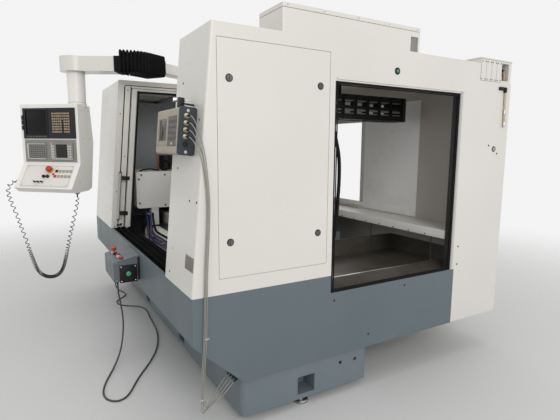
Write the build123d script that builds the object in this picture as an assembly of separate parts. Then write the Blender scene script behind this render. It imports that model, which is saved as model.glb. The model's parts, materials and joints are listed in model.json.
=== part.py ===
from build123d import *
import os
from math import atan2, cos, degrees, hypot, pi, radians, sin, tan

# A CNC cylindrical grinder in its sheet-metal enclosure, in millimetres.
# The model is drawn from the lower right front corner of the enclosure: x runs to the left as
# negative values, y runs from the operator's side to the back, and z starts at the floor.
# At the end every piece is moved so that the origin is at the middle of the footprint.

# Overall sizes
machine_length = 3220
machine_depth = 2560
body_height = 2207
white_bottom = 818
top_setback = 126
panel = 20
run_gap = 1.0
seat_gap = 0.3

# Machine bed and feet
foot_height = 54
bed_inset = 21
bed_front = 292
bed_depth = 933
bed_low_top = 600
way_height = 840
bed_corner_radius = 40
rear_bed_back = 2240
pocket_width = 125
pocket_height = 114
foot_radius = 50

# Grey skirt round the foot of the enclosure
skirt_edge = 556
skirt_bottom = 286
skirt_tuck = 292
right_skirt_depth = 2031
corner_return = 30
corner_round = 12

# Right front column with its access panel
column_width = 480
column_depth = 889
access_y0 = 151
access_y1 = 851
access_z0 = 902
access_z1 = body_height - 70
access_gap = 3
access_thickness = 6
access_flange = 30
column_recess = 250
latch_edge_y = 68
latch_edge_z = 195
latch_head_radius = 15
latch_neck_radius = 9
latch_cam_length = 55

# Side opening and its frame
side_open_y0 = column_depth
side_open_y1 = 1988
side_open_z0 = 706
side_open_z1 = body_height - 226
seal_width = 12
seal_depth = 18
side_button_y = 1371
side_button_z = body_height - 130
side_button_radius = 13

# Front opening, left cover and telescopic door
cover_edge = -machine_length + 920
cover_thickness = 58
cover_roof_thickness = 48
slot_back = 680
trail_edge = cover_edge + 5
lead_edge = cover_edge + 50
leaf_left = -machine_length + 30
trail_offset = 64
trail_thickness = 51
lead_offset = 121
lead_thickness = 43
trail_roof_z = body_height - 73
lead_roof_z = body_height - 101
leaf_roof_thickness = 22
leaf_bottom = white_bottom + 8
tongue_width = 10
tongue_depth = 18
lip_width = 27
lip_depth = 17
handle_offset = 54
handle_radius = 13
handle_bottom = 900
handle_top = 1348

# Roof, hood and rear box
hood_width = 270
hood_y0 = 530
hood_y1 = 1560
hood_height = 150
hood_lid = 22
rear_box_y0 = 2190
rear_box_height = 164
rear_box_length = 1400
cabinet_bottom = 291
rear_wall_y = rear_box_y0 + 90
rear_open_left = -machine_length + 820
rear_open_right = rear_open_left + 1080
rear_open_z0 = 1050
rear_open_z1 = body_height - 357
ledge_front = rear_wall_y - 280
ledge_top = 985
ledge_lip = 62
inner_wall_front = 330

# Work table, workhead and tailstock
work_axis_y = 740
work_axis_z = way_height + 340
table_left = -machine_length + 240
table_length = 1650
table_width = 480
table_height = 110
head_left = table_left + 30
head_face = head_left + 650
head_cover_y0 = 250
head_cover_z0 = way_height + 150
head_cover_z1 = head_cover_z0 + 360
spindle_radius = 70
tailstock_right = table_left + table_length - 20
tailstock_length = 300
quill_radius = 32
quill_reach = 130

# Wheelhead
wheel_x = head_face + 440
slide_left = wheel_x - 100
slide_right = slide_left + 660
rear_bed_left = slide_left - 340
rear_bed_right = slide_right + 300
slide_y0 = 1370
slide_y1 = 1880
slide_height = 150
wheel_radius = 222
wheel_width = 80
wheel_y = 1240
spindle_nose = 45
guard_margin = 40

# Pendant arm
arm_root_x = cover_edge - 164
arm_root_y = 1050
elbow_x = arm_root_x + 541
elbow_y = 182
tube_x = arm_root_x + 292
tube_y = -249
arm_bottom = body_height + 14
outer_arm_height = 120
outer_arm_width = 185
arm_head_radius = 122
inner_arm_bottom = arm_bottom + 38
inner_arm_height = 88
inner_arm_width = 150
bellows_bottom = arm_bottom - 10
bellows_height = 186
bellows_width = 240
bellows_pleats = 14
bellows_pleat_depth = 18
bellows_outer_reach = 136
bellows_inner_reach = 300
bellows_bend = 140
tube_top_radius = 74
tube_bottom_radius = 70

# Pendant, drawn flat and then turned to the operator
pendant_x = tube_x - 72
pendant_y = tube_y - 225
pendant_z = arm_bottom - 435
pendant_turn = 47
pendant_width = 572
pendant_top = 162
pendant_face_bottom = -345
desk_reach = 130
desk_bottom = -552
pendant_foot = -590
front_box_depth = 104
rear_box_depth = 203
display_width = 520
display_height = 260
lower_width = 514
lower_height = 193
lower_top = -138
desk_plate_width = 480
stop_travel = 4

curly_start_side = (-pendant_width / 2, -70, -505)
curly_bend = 85
curly_loop_radius = 130
curly_foot_x = 222
curly_foot_y = 20

# Control box on the front skirt
box_x1 = -column_width - 670
box_x0 = box_x1 - 360
box_reach = 185
box_bottom = skirt_edge + 60
box_front_top = box_bottom + 151
box_back_top = box_bottom + 190

# Gauge unit hung on the column
gauge_x0 = -515
gauge_x1 = -105
gauge_bottom = 1550
gauge_height = 242
gauge_depth = 90
gauge_side = 12

# Cords and their glands
glands = [(-136, 272), (-104, 272), (-72, 272), (-40, 272)]
gland_depth = 22
floor_gland_x = -machine_length + 260
floor_gland_z = 150
gauge_cable_diameter = 5
floor_cable_diameter = 12
curly_diameter = 34

lean = degrees(atan2(top_setback, body_height - white_bottom))
footprint_x = -machine_length / 2
footprint_y = (machine_depth - 776) / 2
nodes = {}


def front_y(z, offset=0):
    """Place of the leaning front plane at a height, plus a distance behind it."""
    return top_setback * (z - white_bottom) / (body_height - white_bottom) + offset


def block(x0, x1, y0, y1, z0, z1):
    """Block between two corners."""
    return Pos((x0 + x1) / 2, (y0 + y1) / 2, (z0 + z1) / 2) * Box(x1 - x0, y1 - y0, z1 - z0)


def side_prism(outline, x0, x1):
    """Outline in y and z, carried from x0 to x1."""
    face = make_face(Polyline(*[(x0, y, z) for y, z in outline], close=True))
    return extrude(face, amount=x1 - x0, dir=(1, 0, 0))


def plan_prism(outline, z0, z1):
    """Outline in x and y, carried from z0 to z1."""
    face = make_face(Polyline(*[(x, y, z0) for x, y in outline], close=True))
    return extrude(face, amount=z1 - z0, dir=(0, 0, 1))


def front_prism(outline, y0, y1):
    """Outline in x and z, carried from y0 to y1."""
    face = make_face(Polyline(*[(x, y0, z) for x, z in outline], close=True))
    return extrude(face, amount=y1 - y0, dir=(0, 1, 0))


def rod(start, end, radius, end_radius=None):
    """Round bar or cone between two points."""
    axis = Vector(*end) - Vector(*start)
    plane = Plane(origin=start, z_dir=axis)
    if end_radius is None:
        return extrude(plane * Circle(radius), amount=axis.length)
    return loft([plane * Circle(radius), Plane(origin=end, z_dir=axis) * Circle(end_radius)])


def edges_along(solid, axis, coordinate=None, sign=1):
    """Straight edges along an axis, or only the outermost of them in a direction."""
    found = solid.edges().filter_by(axis)
    if coordinate is None:
        return found
    return found.group_by(coordinate)[-1 if sign > 0 else 0]


def add(name, shape):
    """Keep a finished piece under its name."""
    nodes[name] = shape


# Machine bed: one T-shaped casting on feet, with ways for the table and for the wheelhead.

bed_right = -bed_inset
bed_left = -machine_length + bed_inset
bed_back = bed_front + bed_depth
way_front = work_axis_y - table_width / 2 + 60
way_back = work_axis_y + table_width / 2 - 60
foot_places = [
    (bed_right - 0.5 * pocket_width, bed_front + 440),
    (bed_right - 0.5 * pocket_width - 1040, bed_front + 90),
    (bed_right - 0.5 * pocket_width - 2080, bed_front + 90),
    (bed_left + 0.5 * pocket_width, bed_front + 440),
    (rear_bed_right - 90, rear_bed_back - 120),
    (rear_bed_left + 90, rear_bed_back - 120),
]


def roof_shape(middle, base, top):
    """Outline of a V way: upright sides and a ridge."""
    return [
        (middle - 45, base), (middle + 45, base), (middle + 45, top - 25),
        (middle, top), (middle - 45, top - 25),
    ]


def way_pair(length_axis, low, high, first, second, base):
    """A flat way and a V way standing on a bed at a base height."""
    top = way_height
    if length_axis == "x":
        flat = block(low, high, first - 35, first + 35, base, top)
        return flat, side_prism(roof_shape(second, base, top), low, high)
    flat = block(first - 35, first + 35, low, high, base, top)
    return flat, front_prism(roof_shape(second, base, top), low, high)


def make_machine_bed():
    front = block(bed_left, bed_right, bed_front, bed_back, foot_height, bed_low_top)
    front = fillet(edges_along(front, Axis.Z), bed_corner_radius)
    rear = block(rear_bed_left, rear_bed_right, bed_back - 200, rear_bed_back, foot_height, bed_low_top)
    upper_left = table_left - 60
    upper_right = -column_width - 60
    upper = block(upper_left, upper_right, way_front - 110, way_back + 110,
                  bed_low_top - 20, way_height - 60)
    upper = chamfer(edges_along(upper, Axis.X, Axis.Z), 25)
    saddle = block(slide_left - 20, slide_right + 20, way_back + 60, ledge_front - 40,
                   bed_low_top - 20, way_height - 60)
    bed = front + rear + upper + saddle
    for rail in way_pair("x", upper_left, upper_right, way_front, way_back, way_height - 62):
        bed += rail
    first = slide_left + 160
    second = slide_right - 160
    for rail in way_pair("y", way_back + 112, ledge_front - 60, first, second, way_height - 62):
        bed += rail
    for x, y in foot_places:
        at_side = x > bed_right - pocket_width or x < bed_left + pocket_width
        deep = pocket_width if at_side else 0.8 * pocket_width
        wide = 0.5 * pocket_width
        low = foot_height + 30
        high = low + pocket_height
        if y > bed_back:
            bed -= block(x - wide, x + wide, rear_bed_back - 200, rear_bed_back + 10, low, high)
        elif at_side:
            near = bed_right - deep if x > -machine_length / 2 else bed_left - 10
            bed -= block(near, near + deep + 10, y - wide, y + wide, low, high)
        else:
            bed -= block(x - wide, x + wide, bed_front - 10, bed_front + 150, low, high)
    gland_root = (floor_gland_x, bed_front + 5, floor_gland_z)
    gland_tip = (floor_gland_x, bed_front - 26, floor_gland_z)
    return bed + rod(gland_root, gland_tip, 15, 11)


def make_levelling_feet():
    feet = []
    for x, y in foot_places:
        pad = Pos(x, y, 9) * Cylinder(foot_radius, 18)
        pad = chamfer(pad.edges().group_by(Axis.Z)[-1], 6)
        screw = Pos(x, y, 18 + (foot_height - 18) / 2) * Cylinder(18, foot_height - 18)
        feet.append(pad + screw)
    return Compound(children=feet)


# Grey skirt: the front run folds under towards the bed, and the ends close it.

def skirt_side_outline(depth, drop_y=None):
    outline = [(0, white_bottom), (0, skirt_edge), (skirt_tuck, skirt_bottom), (depth, skirt_bottom)]
    if drop_y is None:
        return outline + [(depth, white_bottom)]
    return outline + [(depth, side_open_z0), (drop_y, side_open_z0), (drop_y, white_bottom)]


def make_right_skirt():
    """End panel whose front corner is rounded; its top steps down below the side opening."""
    outer = side_prism(skirt_side_outline(right_skirt_depth, side_open_y0), -corner_return, 0)
    upright = outer.edges().filter_by(Axis.Z).group_by(Axis.Y)[0].group_by(Axis.X)[-1]
    outer = fillet(upright, corner_round)
    inner = block(-corner_return, -panel, panel, right_skirt_depth, skirt_bottom - 5, white_bottom + 5)
    return outer - inner


def front_skirt_outline():
    """Folded sheet in y and z: upright face, sloping underside, and a lip against the bed."""
    slope = atan2(skirt_edge - skirt_bottom, skirt_tuck)
    inner_edge = skirt_edge + panel * tan((radians(90) - slope) / 2)
    inner_tuck = bed_front - seat_gap
    inner_low = inner_edge - (inner_tuck - panel) * tan(slope)
    return [
        (0, white_bottom), (0, skirt_edge), (inner_tuck, skirt_edge - inner_tuck * tan(slope)),
        (inner_tuck, inner_low), (panel, inner_edge), (panel, white_bottom),
    ]


def gland_point(x, y, out):
    """Point on the skirt's sloping underside, moved out square to it."""
    slope = atan2(skirt_edge - skirt_bottom, skirt_tuck)
    z = skirt_edge - y * tan(slope)
    return (x, y - out * sin(slope), z - out * cos(slope))


def make_front_skirt():
    """Front run with the left end panel folded on, and the glands of the gauge cables."""
    run = side_prism(front_skirt_outline(), -machine_length + panel, -panel)
    run -= block(-corner_return, 0, -5, panel, skirt_bottom, white_bottom + 5)
    run += side_prism(skirt_side_outline(rear_wall_y), -machine_length, -machine_length + panel)
    for x, y in glands:
        run += rod(gland_point(x, y, -5), gland_point(x, y, gland_depth), 9, 7)
    return run


# Right front column, its access panel and the four quarter-turn latches.

latch_places = {
    "latch_upper_front": (access_y0 + latch_edge_y, access_z1 - latch_edge_z, -1),
    "latch_upper_rear": (access_y1 - latch_edge_y, access_z1 - latch_edge_z, 1),
    "latch_lower_front": (access_y0 + latch_edge_y, access_z0 + latch_edge_z, -1),
    "latch_lower_rear": (access_y1 - latch_edge_y, access_z0 + latch_edge_z, 1),
}


def make_right_column():
    outline = [
        (0, white_bottom), (column_depth, white_bottom),
        (column_depth, body_height), (top_setback, body_height),
    ]
    body = side_prism(outline, -column_width, 0)
    slanted = [e for e in body.edges() if abs(e.center().X) < 1 and abs(e.center().Y - top_setback / 2) < 5]
    body = fillet(slanted, corner_round)
    recess = block(-column_recess, -panel, access_y0 + access_flange, access_y1 - access_flange,
                   access_z0 + access_flange, access_z1 - access_flange)
    recess += block(-column_recess, -panel, access_y0, access_y1, access_z0 - 10, access_z1 + 10)
    mouth = block(-panel - 1, 5, access_y0 + access_flange, access_y1 - access_flange,
                  access_z0 + access_flange, access_z1 - access_flange)
    rebate = block(-access_thickness, 5, access_y0, access_y1, access_z0, access_z1)
    return body - recess - mouth - rebate


def make_access_panel():
    sheet = block(-access_thickness, 0, access_y0 + access_gap, access_y1 - access_gap,
                  access_z0 + access_gap, access_z1 - access_gap)
    sheet = fillet(edges_along(sheet, Axis.X), 8)
    for y, z, side in latch_places.values():
        sheet -= rod((-50, y, z), (50, y, z), latch_neck_radius + seat_gap)
    return sheet


def make_latch(y, z, side):
    """Round head with a tool slot, neck through the panel, and a cam behind the flange."""
    head = rod((seat_gap, y, z), (5, y, z), latch_head_radius)
    head -= block(3, 6, y - 2, y + 2, z - 10, z + 10)
    neck = rod((-panel - 6, y, z), (seat_gap, y, z), latch_neck_radius)
    reach = y + side * (latch_cam_length)
    cam = block(-panel - 6, -panel - seat_gap, min(y, reach), max(y, reach), z - 9, z + 9)
    return head + neck + cam


# Frame round the side opening, its rubber seal, and the push button above it.

def make_side_frame():
    outline = [
        (column_depth, body_height), (column_depth, side_open_z1), (side_open_y1, side_open_z1),
        (side_open_y1, side_open_z0), (right_skirt_depth, side_open_z0), (right_skirt_depth, body_height),
    ]
    frame = side_prism(outline, -panel, 0)
    rail = block(-1, 7, column_depth + 8, right_skirt_depth - 6, side_open_z1 + 10, side_open_z1 + 20)
    frame += rail
    post = block(-panel - 40, -panel, side_open_y1 + 6, right_skirt_depth - 6,
                 side_open_z0, body_height - panel)
    lintel = block(-panel - 40, -panel, column_depth + 10, right_skirt_depth - 6,
                   side_open_z1 + 6, side_open_z1 + 60)
    frame += post + lintel
    return frame - rod((-80, side_button_y, side_button_z), (20, side_button_y, side_button_z),
                       side_button_radius + seat_gap)


def make_side_seal():
    ring = block(-seal_depth, -2, side_open_y0, side_open_y1, side_open_z0, side_open_z1)
    hole = block(-50, 5, side_open_y0 + seal_width, side_open_y1 - seal_width,
                 side_open_z0 + seal_width, side_open_z1 - seal_width)
    return ring - hole


def make_side_button():
    """Domed push button whose stem runs in the frame."""
    inner_end = (-panel - 10, side_button_y, side_button_z)
    stem = rod(inner_end, (5, side_button_y, side_button_z), side_button_radius)
    return fillet(stem.edges().group_by(Axis.X)[-1], 2)


# Rear side panel with its key lock.

lock_y = 2404
lock_z = 1595


def make_rear_side_panel():
    outline = [
        (right_skirt_depth, cabinet_bottom), (machine_depth, cabinet_bottom),
        (machine_depth, body_height - 121), (rear_box_y0, body_height - 121),
        (rear_box_y0, body_height), (right_skirt_depth, body_height),
    ]
    sheet = side_prism(outline, -panel, 0)
    return sheet - rod((-40, lock_y, lock_z), (20, lock_y, lock_z), 14 + seat_gap)


def make_panel_lock():
    """Key barrel with a flat tongue behind the panel."""
    barrel = rod((-panel - 8, lock_y, lock_z), (4, lock_y, lock_z), 14)
    barrel -= block(1, 6, lock_y - 1.5, lock_y + 1.5, lock_z - 6, lock_z + 6)
    tongue = block(-panel - 8, -panel - 2, lock_y - 9, lock_y + 9, lock_z - 50, lock_z)
    return barrel + tongue


# Roof, hood and rear cabinet with the cross box on top of it.

def make_roof_panel():
    """One plate round the loading slot; the left cover and the column carry its front."""
    right = -panel
    inner = -column_width
    left = -machine_length + panel
    outline = [
        (right, column_depth), (inner, column_depth), (inner, slot_back), (left, slot_back),
        (left, rear_wall_y), (right, rear_wall_y),
    ]
    return plan_prism(outline, body_height - panel, body_height)


def make_roof_hood():
    """Box on the roof edge with a lid line and a shallow cable slot near its rear end."""
    top = body_height + hood_height
    body = block(-hood_width, 0, hood_y0, hood_y1, body_height, top)
    body = fillet(edges_along(body, Axis.Z), 6)
    groove_z = top - hood_lid
    groove = block(-hood_width - 5, 5, hood_y0 - 5, hood_y1 + 5, groove_z - 4, groove_z)
    core = block(-hood_width + 6, -6, hood_y0 + 6, hood_y1 - 6, groove_z - 4, groove_z)
    slot = block(-8, 5, hood_y1 - 85, hood_y1 - 19, body_height + 2, body_height + 92)
    return body - (groove - core) - slot


def make_rear_cabinet():
    """Cabinet behind the work area, with the cross box over it and a connector recess in its end."""
    left = -rear_box_length
    base = block(left, -panel, rear_wall_y + panel, machine_depth, cabinet_bottom, body_height - 121)
    top = body_height - 121 + rear_box_height
    box = block(left, -6, rear_box_y0 + 4, machine_depth, body_height - 121, top - 8)
    lid = block(left - 6, 0, rear_box_y0, machine_depth, top - 8, top)
    recess = block(-90, 5, machine_depth - 118, machine_depth - 32, body_height - 104, top - 22)
    under = block(left - 1, -panel, rear_box_y0, rear_wall_y + panel, cabinet_bottom, body_height)
    pocket = rod((-panel - 20, lock_y, lock_z), (0, lock_y, lock_z), 60)
    return base + (box - under) + lid - recess - pocket


def make_end_cover_plates():
    """Row of narrow blanking plates on the end of the cross box."""
    plates = []
    start = rear_box_y0 + 6
    pitch = 60
    for i in range(4):
        y = start + pitch * i
        plates.append(block(-6, 0, y, y + pitch - 4, body_height - 117, body_height + 26))
    return Compound(children=plates)


# Left cover, telescopic door, sill and roof rail.

def leaf_outline(offset, thickness, roof_top, roof_thickness, bottom, back):
    """Leaning front wall with a roof return, in y and z."""
    low = roof_top - roof_thickness
    return [
        (front_y(bottom, offset), bottom), (front_y(bottom, offset + thickness), bottom),
        (front_y(low, offset + thickness), low), (back, low), (back, roof_top),
        (front_y(roof_top, offset), roof_top),
    ]


def make_left_cover():
    """L-shaped cover over the parked door leaves, with the left end panel as one welded shell."""
    outline = leaf_outline(0, cover_thickness, body_height, cover_roof_thickness, white_bottom, slot_back)
    cover = side_prism(outline, -machine_length, cover_edge)
    end_outline = [
        (0, white_bottom), (rear_wall_y, white_bottom),
        (rear_wall_y, body_height), (top_setback, body_height),
    ]
    cover += side_prism(end_outline, -machine_length, -machine_length + panel)
    rim = cover.edges().filter_by(Axis.X).group_by(Axis.Z)[-1].group_by(Axis.Y)[0]
    return fillet(rim, 10)


def make_leaf(offset, thickness, roof_z, edge):
    roof_top = roof_z + leaf_roof_thickness
    outline = leaf_outline(offset, thickness, roof_top, leaf_roof_thickness, leaf_bottom, slot_back + 14)
    leaf = side_prism(outline, leaf_left, edge)
    middle = front_y(leaf_bottom, offset + thickness / 2)
    tongue = block(leaf_left + 20, edge - 20, middle - tongue_width / 2, middle + tongue_width / 2,
                   leaf_bottom - tongue_depth, leaf_bottom + 4)
    return leaf + tongue


def make_door_lip():
    """Rubber edge on the leading leaf, up the front and along the roof return."""
    offset = lead_offset + lead_thickness
    outline = leaf_outline(offset, lip_depth, lead_roof_z, lip_depth, leaf_bottom, slot_back - 6)
    return side_prism(outline, lead_edge - 12, lead_edge - 12 + lip_width)


bracket_corners = [(-14, handle_offset), (-14, lead_offset), (14, lead_offset), (14, handle_offset)]


def make_door_handle():
    """Pull bar in front of the leading edge on two stand-off brackets."""
    x = lead_edge - 5 - handle_radius - 4
    low = (x, front_y(handle_bottom, handle_offset), handle_bottom)
    high = (x, front_y(handle_top, handle_offset), handle_top)
    bar = rod(low, high, handle_radius)
    for z in (handle_bottom + 62, handle_top - 52):
        outline = [(front_y(z + dz, offset), z + dz) for dz, offset in bracket_corners]
        bar += side_prism(outline, x - 12, x + 12)
    return bar


def make_door_sill():
    """Dark sill behind the skirt with two guide grooves for the leaves."""
    top = white_bottom - 2
    sill = block(leaf_left, -column_width - 2, panel + 40, 190, top - 46, top)
    brace = block(leaf_left, -column_width - 2, panel, panel + 44, top - 46, top - 20)
    sill += brace
    for offset, thickness in ((trail_offset, trail_thickness), (lead_offset, lead_thickness)):
        middle = front_y(leaf_bottom, offset + thickness / 2)
        half = tongue_width / 2 + run_gap
        groove_floor = leaf_bottom - tongue_depth - seat_gap
        sill -= block(leaf_left - 5, 5, middle - half, middle + half, groove_floor, top + 5)
    return sill


def make_door_rail():
    """Grooved rail under the roof edge that carries the roof returns of both leaves."""
    rail = block(leaf_left, -column_width - 2, slot_back + 2, slot_back + 44,
                 lead_roof_z - 16, body_height - panel)
    for z in (trail_roof_z, lead_roof_z):
        groove_top = z + leaf_roof_thickness + run_gap
        rail -= block(leaf_left - 5, 5, slot_back, slot_back + 14 + run_gap, z - seat_gap, groove_top)
    return rail


# Inside the work area.

def make_inner_left_wall():
    """Dark end wall with a pressed seam."""
    face = -machine_length + 6 * panel
    back = face - panel
    low = way_height - 40
    wall = block(back, face, inner_wall_front, rear_wall_y, low, lead_roof_z - 24)
    wall += block(back, face, slot_back + 60, rear_wall_y, lead_roof_z - 30, body_height - panel)
    seam = body_height - 360
    return wall - block(face - 4, face + 5, inner_wall_front - 10, rear_wall_y + 5, seam - 3, seam + 3)


def make_rear_wall():
    """Rear wall with the service opening, and a folded ledge along its foot."""
    wall = block(-machine_length, -panel, rear_wall_y, rear_wall_y + panel, skirt_bottom, body_height)
    wall -= block(rear_open_left, rear_open_right, rear_wall_y - 5, rear_wall_y + panel + 5,
                  rear_open_z0, rear_open_z1)
    ledge_right = -panel - 40 - 2
    shelf = block(rear_open_left, ledge_right, ledge_front, rear_wall_y, ledge_top - 12, ledge_top)
    lip = block(rear_open_left, ledge_right, ledge_front, ledge_front + 12, ledge_top - ledge_lip, ledge_top)
    hem = block(rear_open_left, rear_open_right, rear_wall_y - 60, rear_wall_y,
                ledge_top - 2, ledge_top + 26)
    return wall + shelf + lip + hem


def make_chip_tray():
    """Folded tray under the side opening, sloping away from the sill, with a raised rim."""
    y0 = column_depth + 20
    y1 = rear_wall_y
    x1 = -panel - 4
    x0 = -column_width - 420
    step_x = -column_width - 50
    step_y = way_back + 190
    outline = [
        (x0, 655), (x0, 640), (-235, 668), (-195, 690), (x1, 672), (x1, 700), (-60, 696),
        (-200, 727), (-215, 727), (-245, 684),
    ]
    tray = front_prism(outline, y0, y1) - block(x0 - 5, step_x, y0 - 5, step_y, 600, 900)
    back_lip = block(x0, x1, y1 - 12, y1, 660, 800)
    left_lip = block(x0 - 12, x0, step_y, y1, 640, 800)
    return tray + back_lip + left_lip


def make_cable_chain():
    """Energy chain on its side: two runs of links joined by a half turn at the rear."""
    near_x = -column_width - 160
    turn_radius = 75
    link = 123
    count = 6
    thick = 52
    z1 = body_height - 204
    z0 = z1 - 188
    y_end = rear_wall_y - 230
    x_mid = near_x - turn_radius
    links = []
    for i in range(count):
        y = y_end - (i + 0.5) * link
        for x in (near_x, near_x - 2 * turn_radius):
            body = block(x - thick / 2, x + thick / 2, y - link / 2 + 3, y + link / 2 - 3, z0, z1)
            for z in (z0 + 40, z0 + 104):
                body -= block(x - thick, x + thick, y - link / 2 + 14, y + link / 2 - 14, z, z + 44)
            links.append(body)
    for i in range(5):
        angle = 180 / 5 * (i + 0.5)
        piece = Box(thick, 2 * turn_radius * tan(radians(18)) * 0.86, z1 - z0)
        spoke = Pos(x_mid, y_end, (z0 + z1) / 2) * Rot(0, 0, angle) * Pos(turn_radius, 0, 0)
        links.append(spoke * piece)
    tie = block(near_x - 14, near_x + 14, y_end - (count - 0.5) * link, y_end, z0 + 86, z0 + 102)
    far = Pos(-2 * turn_radius, 0, 0) * tie
    hoop = Cylinder(turn_radius + 14, 16) - Cylinder(turn_radius - 14, 17)
    ring = Pos(x_mid, y_end, z0 + 94) * hoop
    ring &= block(-machine_length, 0, y_end, machine_depth, 0, body_height)
    far_x = near_x - 2 * turn_radius
    hanger = block(far_x - 20, far_x + 20, y_end - 4.7 * link, y_end - 4.2 * link, z1 - 1, body_height - panel)
    chain = tie + far + ring + hanger
    for body in links:
        chain += body
    return chain


# Work table, workhead, tailstock.

table_y0 = work_axis_y - table_width / 2
table_y1 = work_axis_y + table_width / 2


def make_work_table():
    """Table with a T-slot, seated on the ways with an oil gap."""
    base = way_height + seat_gap
    table = block(table_left, table_left + table_length, table_y0, table_y1, base, base + table_height)
    table = chamfer(edges_along(table, Axis.X, Axis.Z), 8)
    slot = block(table_left - 5, table_left + table_length + 5, work_axis_y - 9, work_axis_y + 9,
                 base + table_height - 24, base + table_height + 5)
    wide = block(table_left - 5, table_left + table_length + 5, work_axis_y - 18, work_axis_y + 18,
                 base + table_height - 24, base + table_height - 11)
    return table - slot - wide


def make_workhead():
    """Headstock casting behind its cover, on a round swivel base."""
    base = way_height + seat_gap + table_height
    foot = Pos((head_left + head_face) / 2, work_axis_y, base + 20) * Cylinder(205, 40)
    body = block(head_left, head_face - panel, work_axis_y - 190, work_axis_y + 230,
                 base + 40, head_cover_z1 - panel)
    body = fillet(edges_along(body, Axis.X, Axis.Z), 40)
    motor_at = (head_left + 190, work_axis_y - 60)
    motor = rod((*motor_at, head_cover_z1 - 30), (*motor_at, head_cover_z1 + 150), 85)
    bore_radius = spindle_radius - 20 + seat_gap
    bore = rod((head_left - 5, work_axis_y, work_axis_z), (0, work_axis_y, work_axis_z), bore_radius)
    return foot + body + motor - bore


def make_workhead_cover():
    """Sheet cover with rounded corners over the workhead, and a lower leg beside the table."""
    z0 = head_cover_z0
    motor_at = (head_left + 190, work_axis_y - 60)
    cover = block(head_left + 60, head_face, head_cover_y0, work_axis_y + 260, z0, head_cover_z1)
    cover = fillet(edges_along(cover, Axis.X), 28)
    inner = block(head_left + 50, head_face - panel, head_cover_y0 + panel, work_axis_y + 240,
                  z0 - 10, head_cover_z1 - panel)
    hole_start = (head_face - 100, work_axis_y, work_axis_z)
    hole = rod(hole_start, (head_face + 50, work_axis_y, work_axis_z), spindle_radius + 6)
    motor_hole = rod((*motor_at, head_cover_z1 - 60), (*motor_at, head_cover_z1 + 50), 90)
    leg_y0 = work_axis_y - table_width / 2 - 107
    leg = block(head_face - 90, head_face - 10, leg_y0, leg_y0 + 70, way_height - 25, z0 + 20)
    return cover - inner - hole - motor_hole + leg


def make_work_spindle():
    """Spindle shaft, face plate and driving centre."""
    def turned(x0, x1, radius, end_radius=None, rise=0):
        z = work_axis_z + rise
        return rod((x0, work_axis_y, z), (x1, work_axis_y, z), radius, end_radius)

    shaft = turned(head_left + 20, head_face + 2, spindle_radius - 20)
    plate = turned(head_face + 2, head_face + 34, spindle_radius)
    centre = turned(head_face + 34, head_face + 94, 30, 3)
    pin = turned(head_face + 30, head_face + 70, 8, rise=46)
    return shaft + plate + centre + pin


def make_tailstock():
    base = way_height + seat_gap + table_height
    x0 = tailstock_right - tailstock_length
    outline = [
        (work_axis_y - 130, base), (work_axis_y + 130, base), (work_axis_y + 130, base + 50),
        (work_axis_y + 85, base + 90), (work_axis_y + 85, work_axis_z + 85),
        (work_axis_y - 85, work_axis_z + 85), (work_axis_y - 85, base + 90), (work_axis_y - 130, base + 50),
    ]
    body = side_prism(outline, x0, tailstock_right)
    body = fillet(body.edges().filter_by(Axis.X).group_by(Axis.Z)[-1], 30)
    bore_end = (x0 + quill_reach + 190, work_axis_y, work_axis_z)
    return body - rod((x0 - 5, work_axis_y, work_axis_z), bore_end, quill_radius + seat_gap)


def make_tailstock_quill():
    x0 = tailstock_right - tailstock_length
    barrel = rod((x0 + 180, work_axis_y, work_axis_z), (x0 - 60, work_axis_y, work_axis_z), quill_radius)
    tip = rod((x0 - 60, work_axis_y, work_axis_z), (x0 - quill_reach, work_axis_y, work_axis_z), 24, 3)
    return barrel + tip


# Wheelhead on its cross slide.

def make_wheel_slide():
    """Slide with a covered way at its back."""
    base = way_height + seat_gap
    outline = [
        (slide_y0, base), (slide_y1, base), (slide_y1, base + 60), (slide_y1 - 80, base + slide_height),
        (slide_y0 + 30, base + slide_height), (slide_y0, base + slide_height - 30),
    ]
    return side_prism(outline, slide_left, slide_right)


def make_wheelhead():
    """Drive housing with a rounded top, and the spindle housing that reaches forward from it."""
    base = way_height + seat_gap + slide_height
    x0 = wheel_x + wheel_width / 2 + guard_margin
    body = block(x0, slide_right - 20, slide_y0 - 20, slide_y1 - 100, base, base + 430)
    body = fillet(edges_along(body, Axis.X, Axis.Z), 60)
    nose = block(x0, x0 + 260, wheel_y - 110, slide_y0 + 10, work_axis_z - 110, work_axis_z + 110)
    nose = fillet(edges_along(nose, Axis.X, Axis.Y, -1), 40)
    bore = rod((x0 - 5, wheel_y, work_axis_z), (x0 + 230, wheel_y, work_axis_z), spindle_nose + seat_gap)
    return body + nose - bore


def make_wheel_guard():
    """Guard round the back and top of the grinding wheel, open towards the work."""
    x0 = wheel_x - wheel_width / 2 - guard_margin
    x1 = wheel_x + wheel_width / 2 + guard_margin
    radius = wheel_radius + 34
    centre = (wheel_y, work_axis_z)
    low = way_height + seat_gap + slide_height
    drum = rod((x0, *centre), (x1, *centre), radius)
    drum -= block(x0 - 5, x1 + 5, wheel_y - radius - 5, wheel_y + radius + 5, 0, low + 90)
    shell = drum + block(x0, x1, slide_y0 + 30, wheel_y + radius + 60, low, work_axis_z + 60)
    room = rod((x0 + 16, *centre), (x1 - 16, *centre), wheel_radius + 12)
    cut = block(x0 - 5, x1 + 5, wheel_y - radius - 5, wheel_y - 110,
                work_axis_z - radius - 5, work_axis_z + 130)
    nose_hole = rod((x1 - 30, *centre), (x1 + 5, *centre), spindle_nose + 20)
    return shell - room - cut - nose_hole


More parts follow.
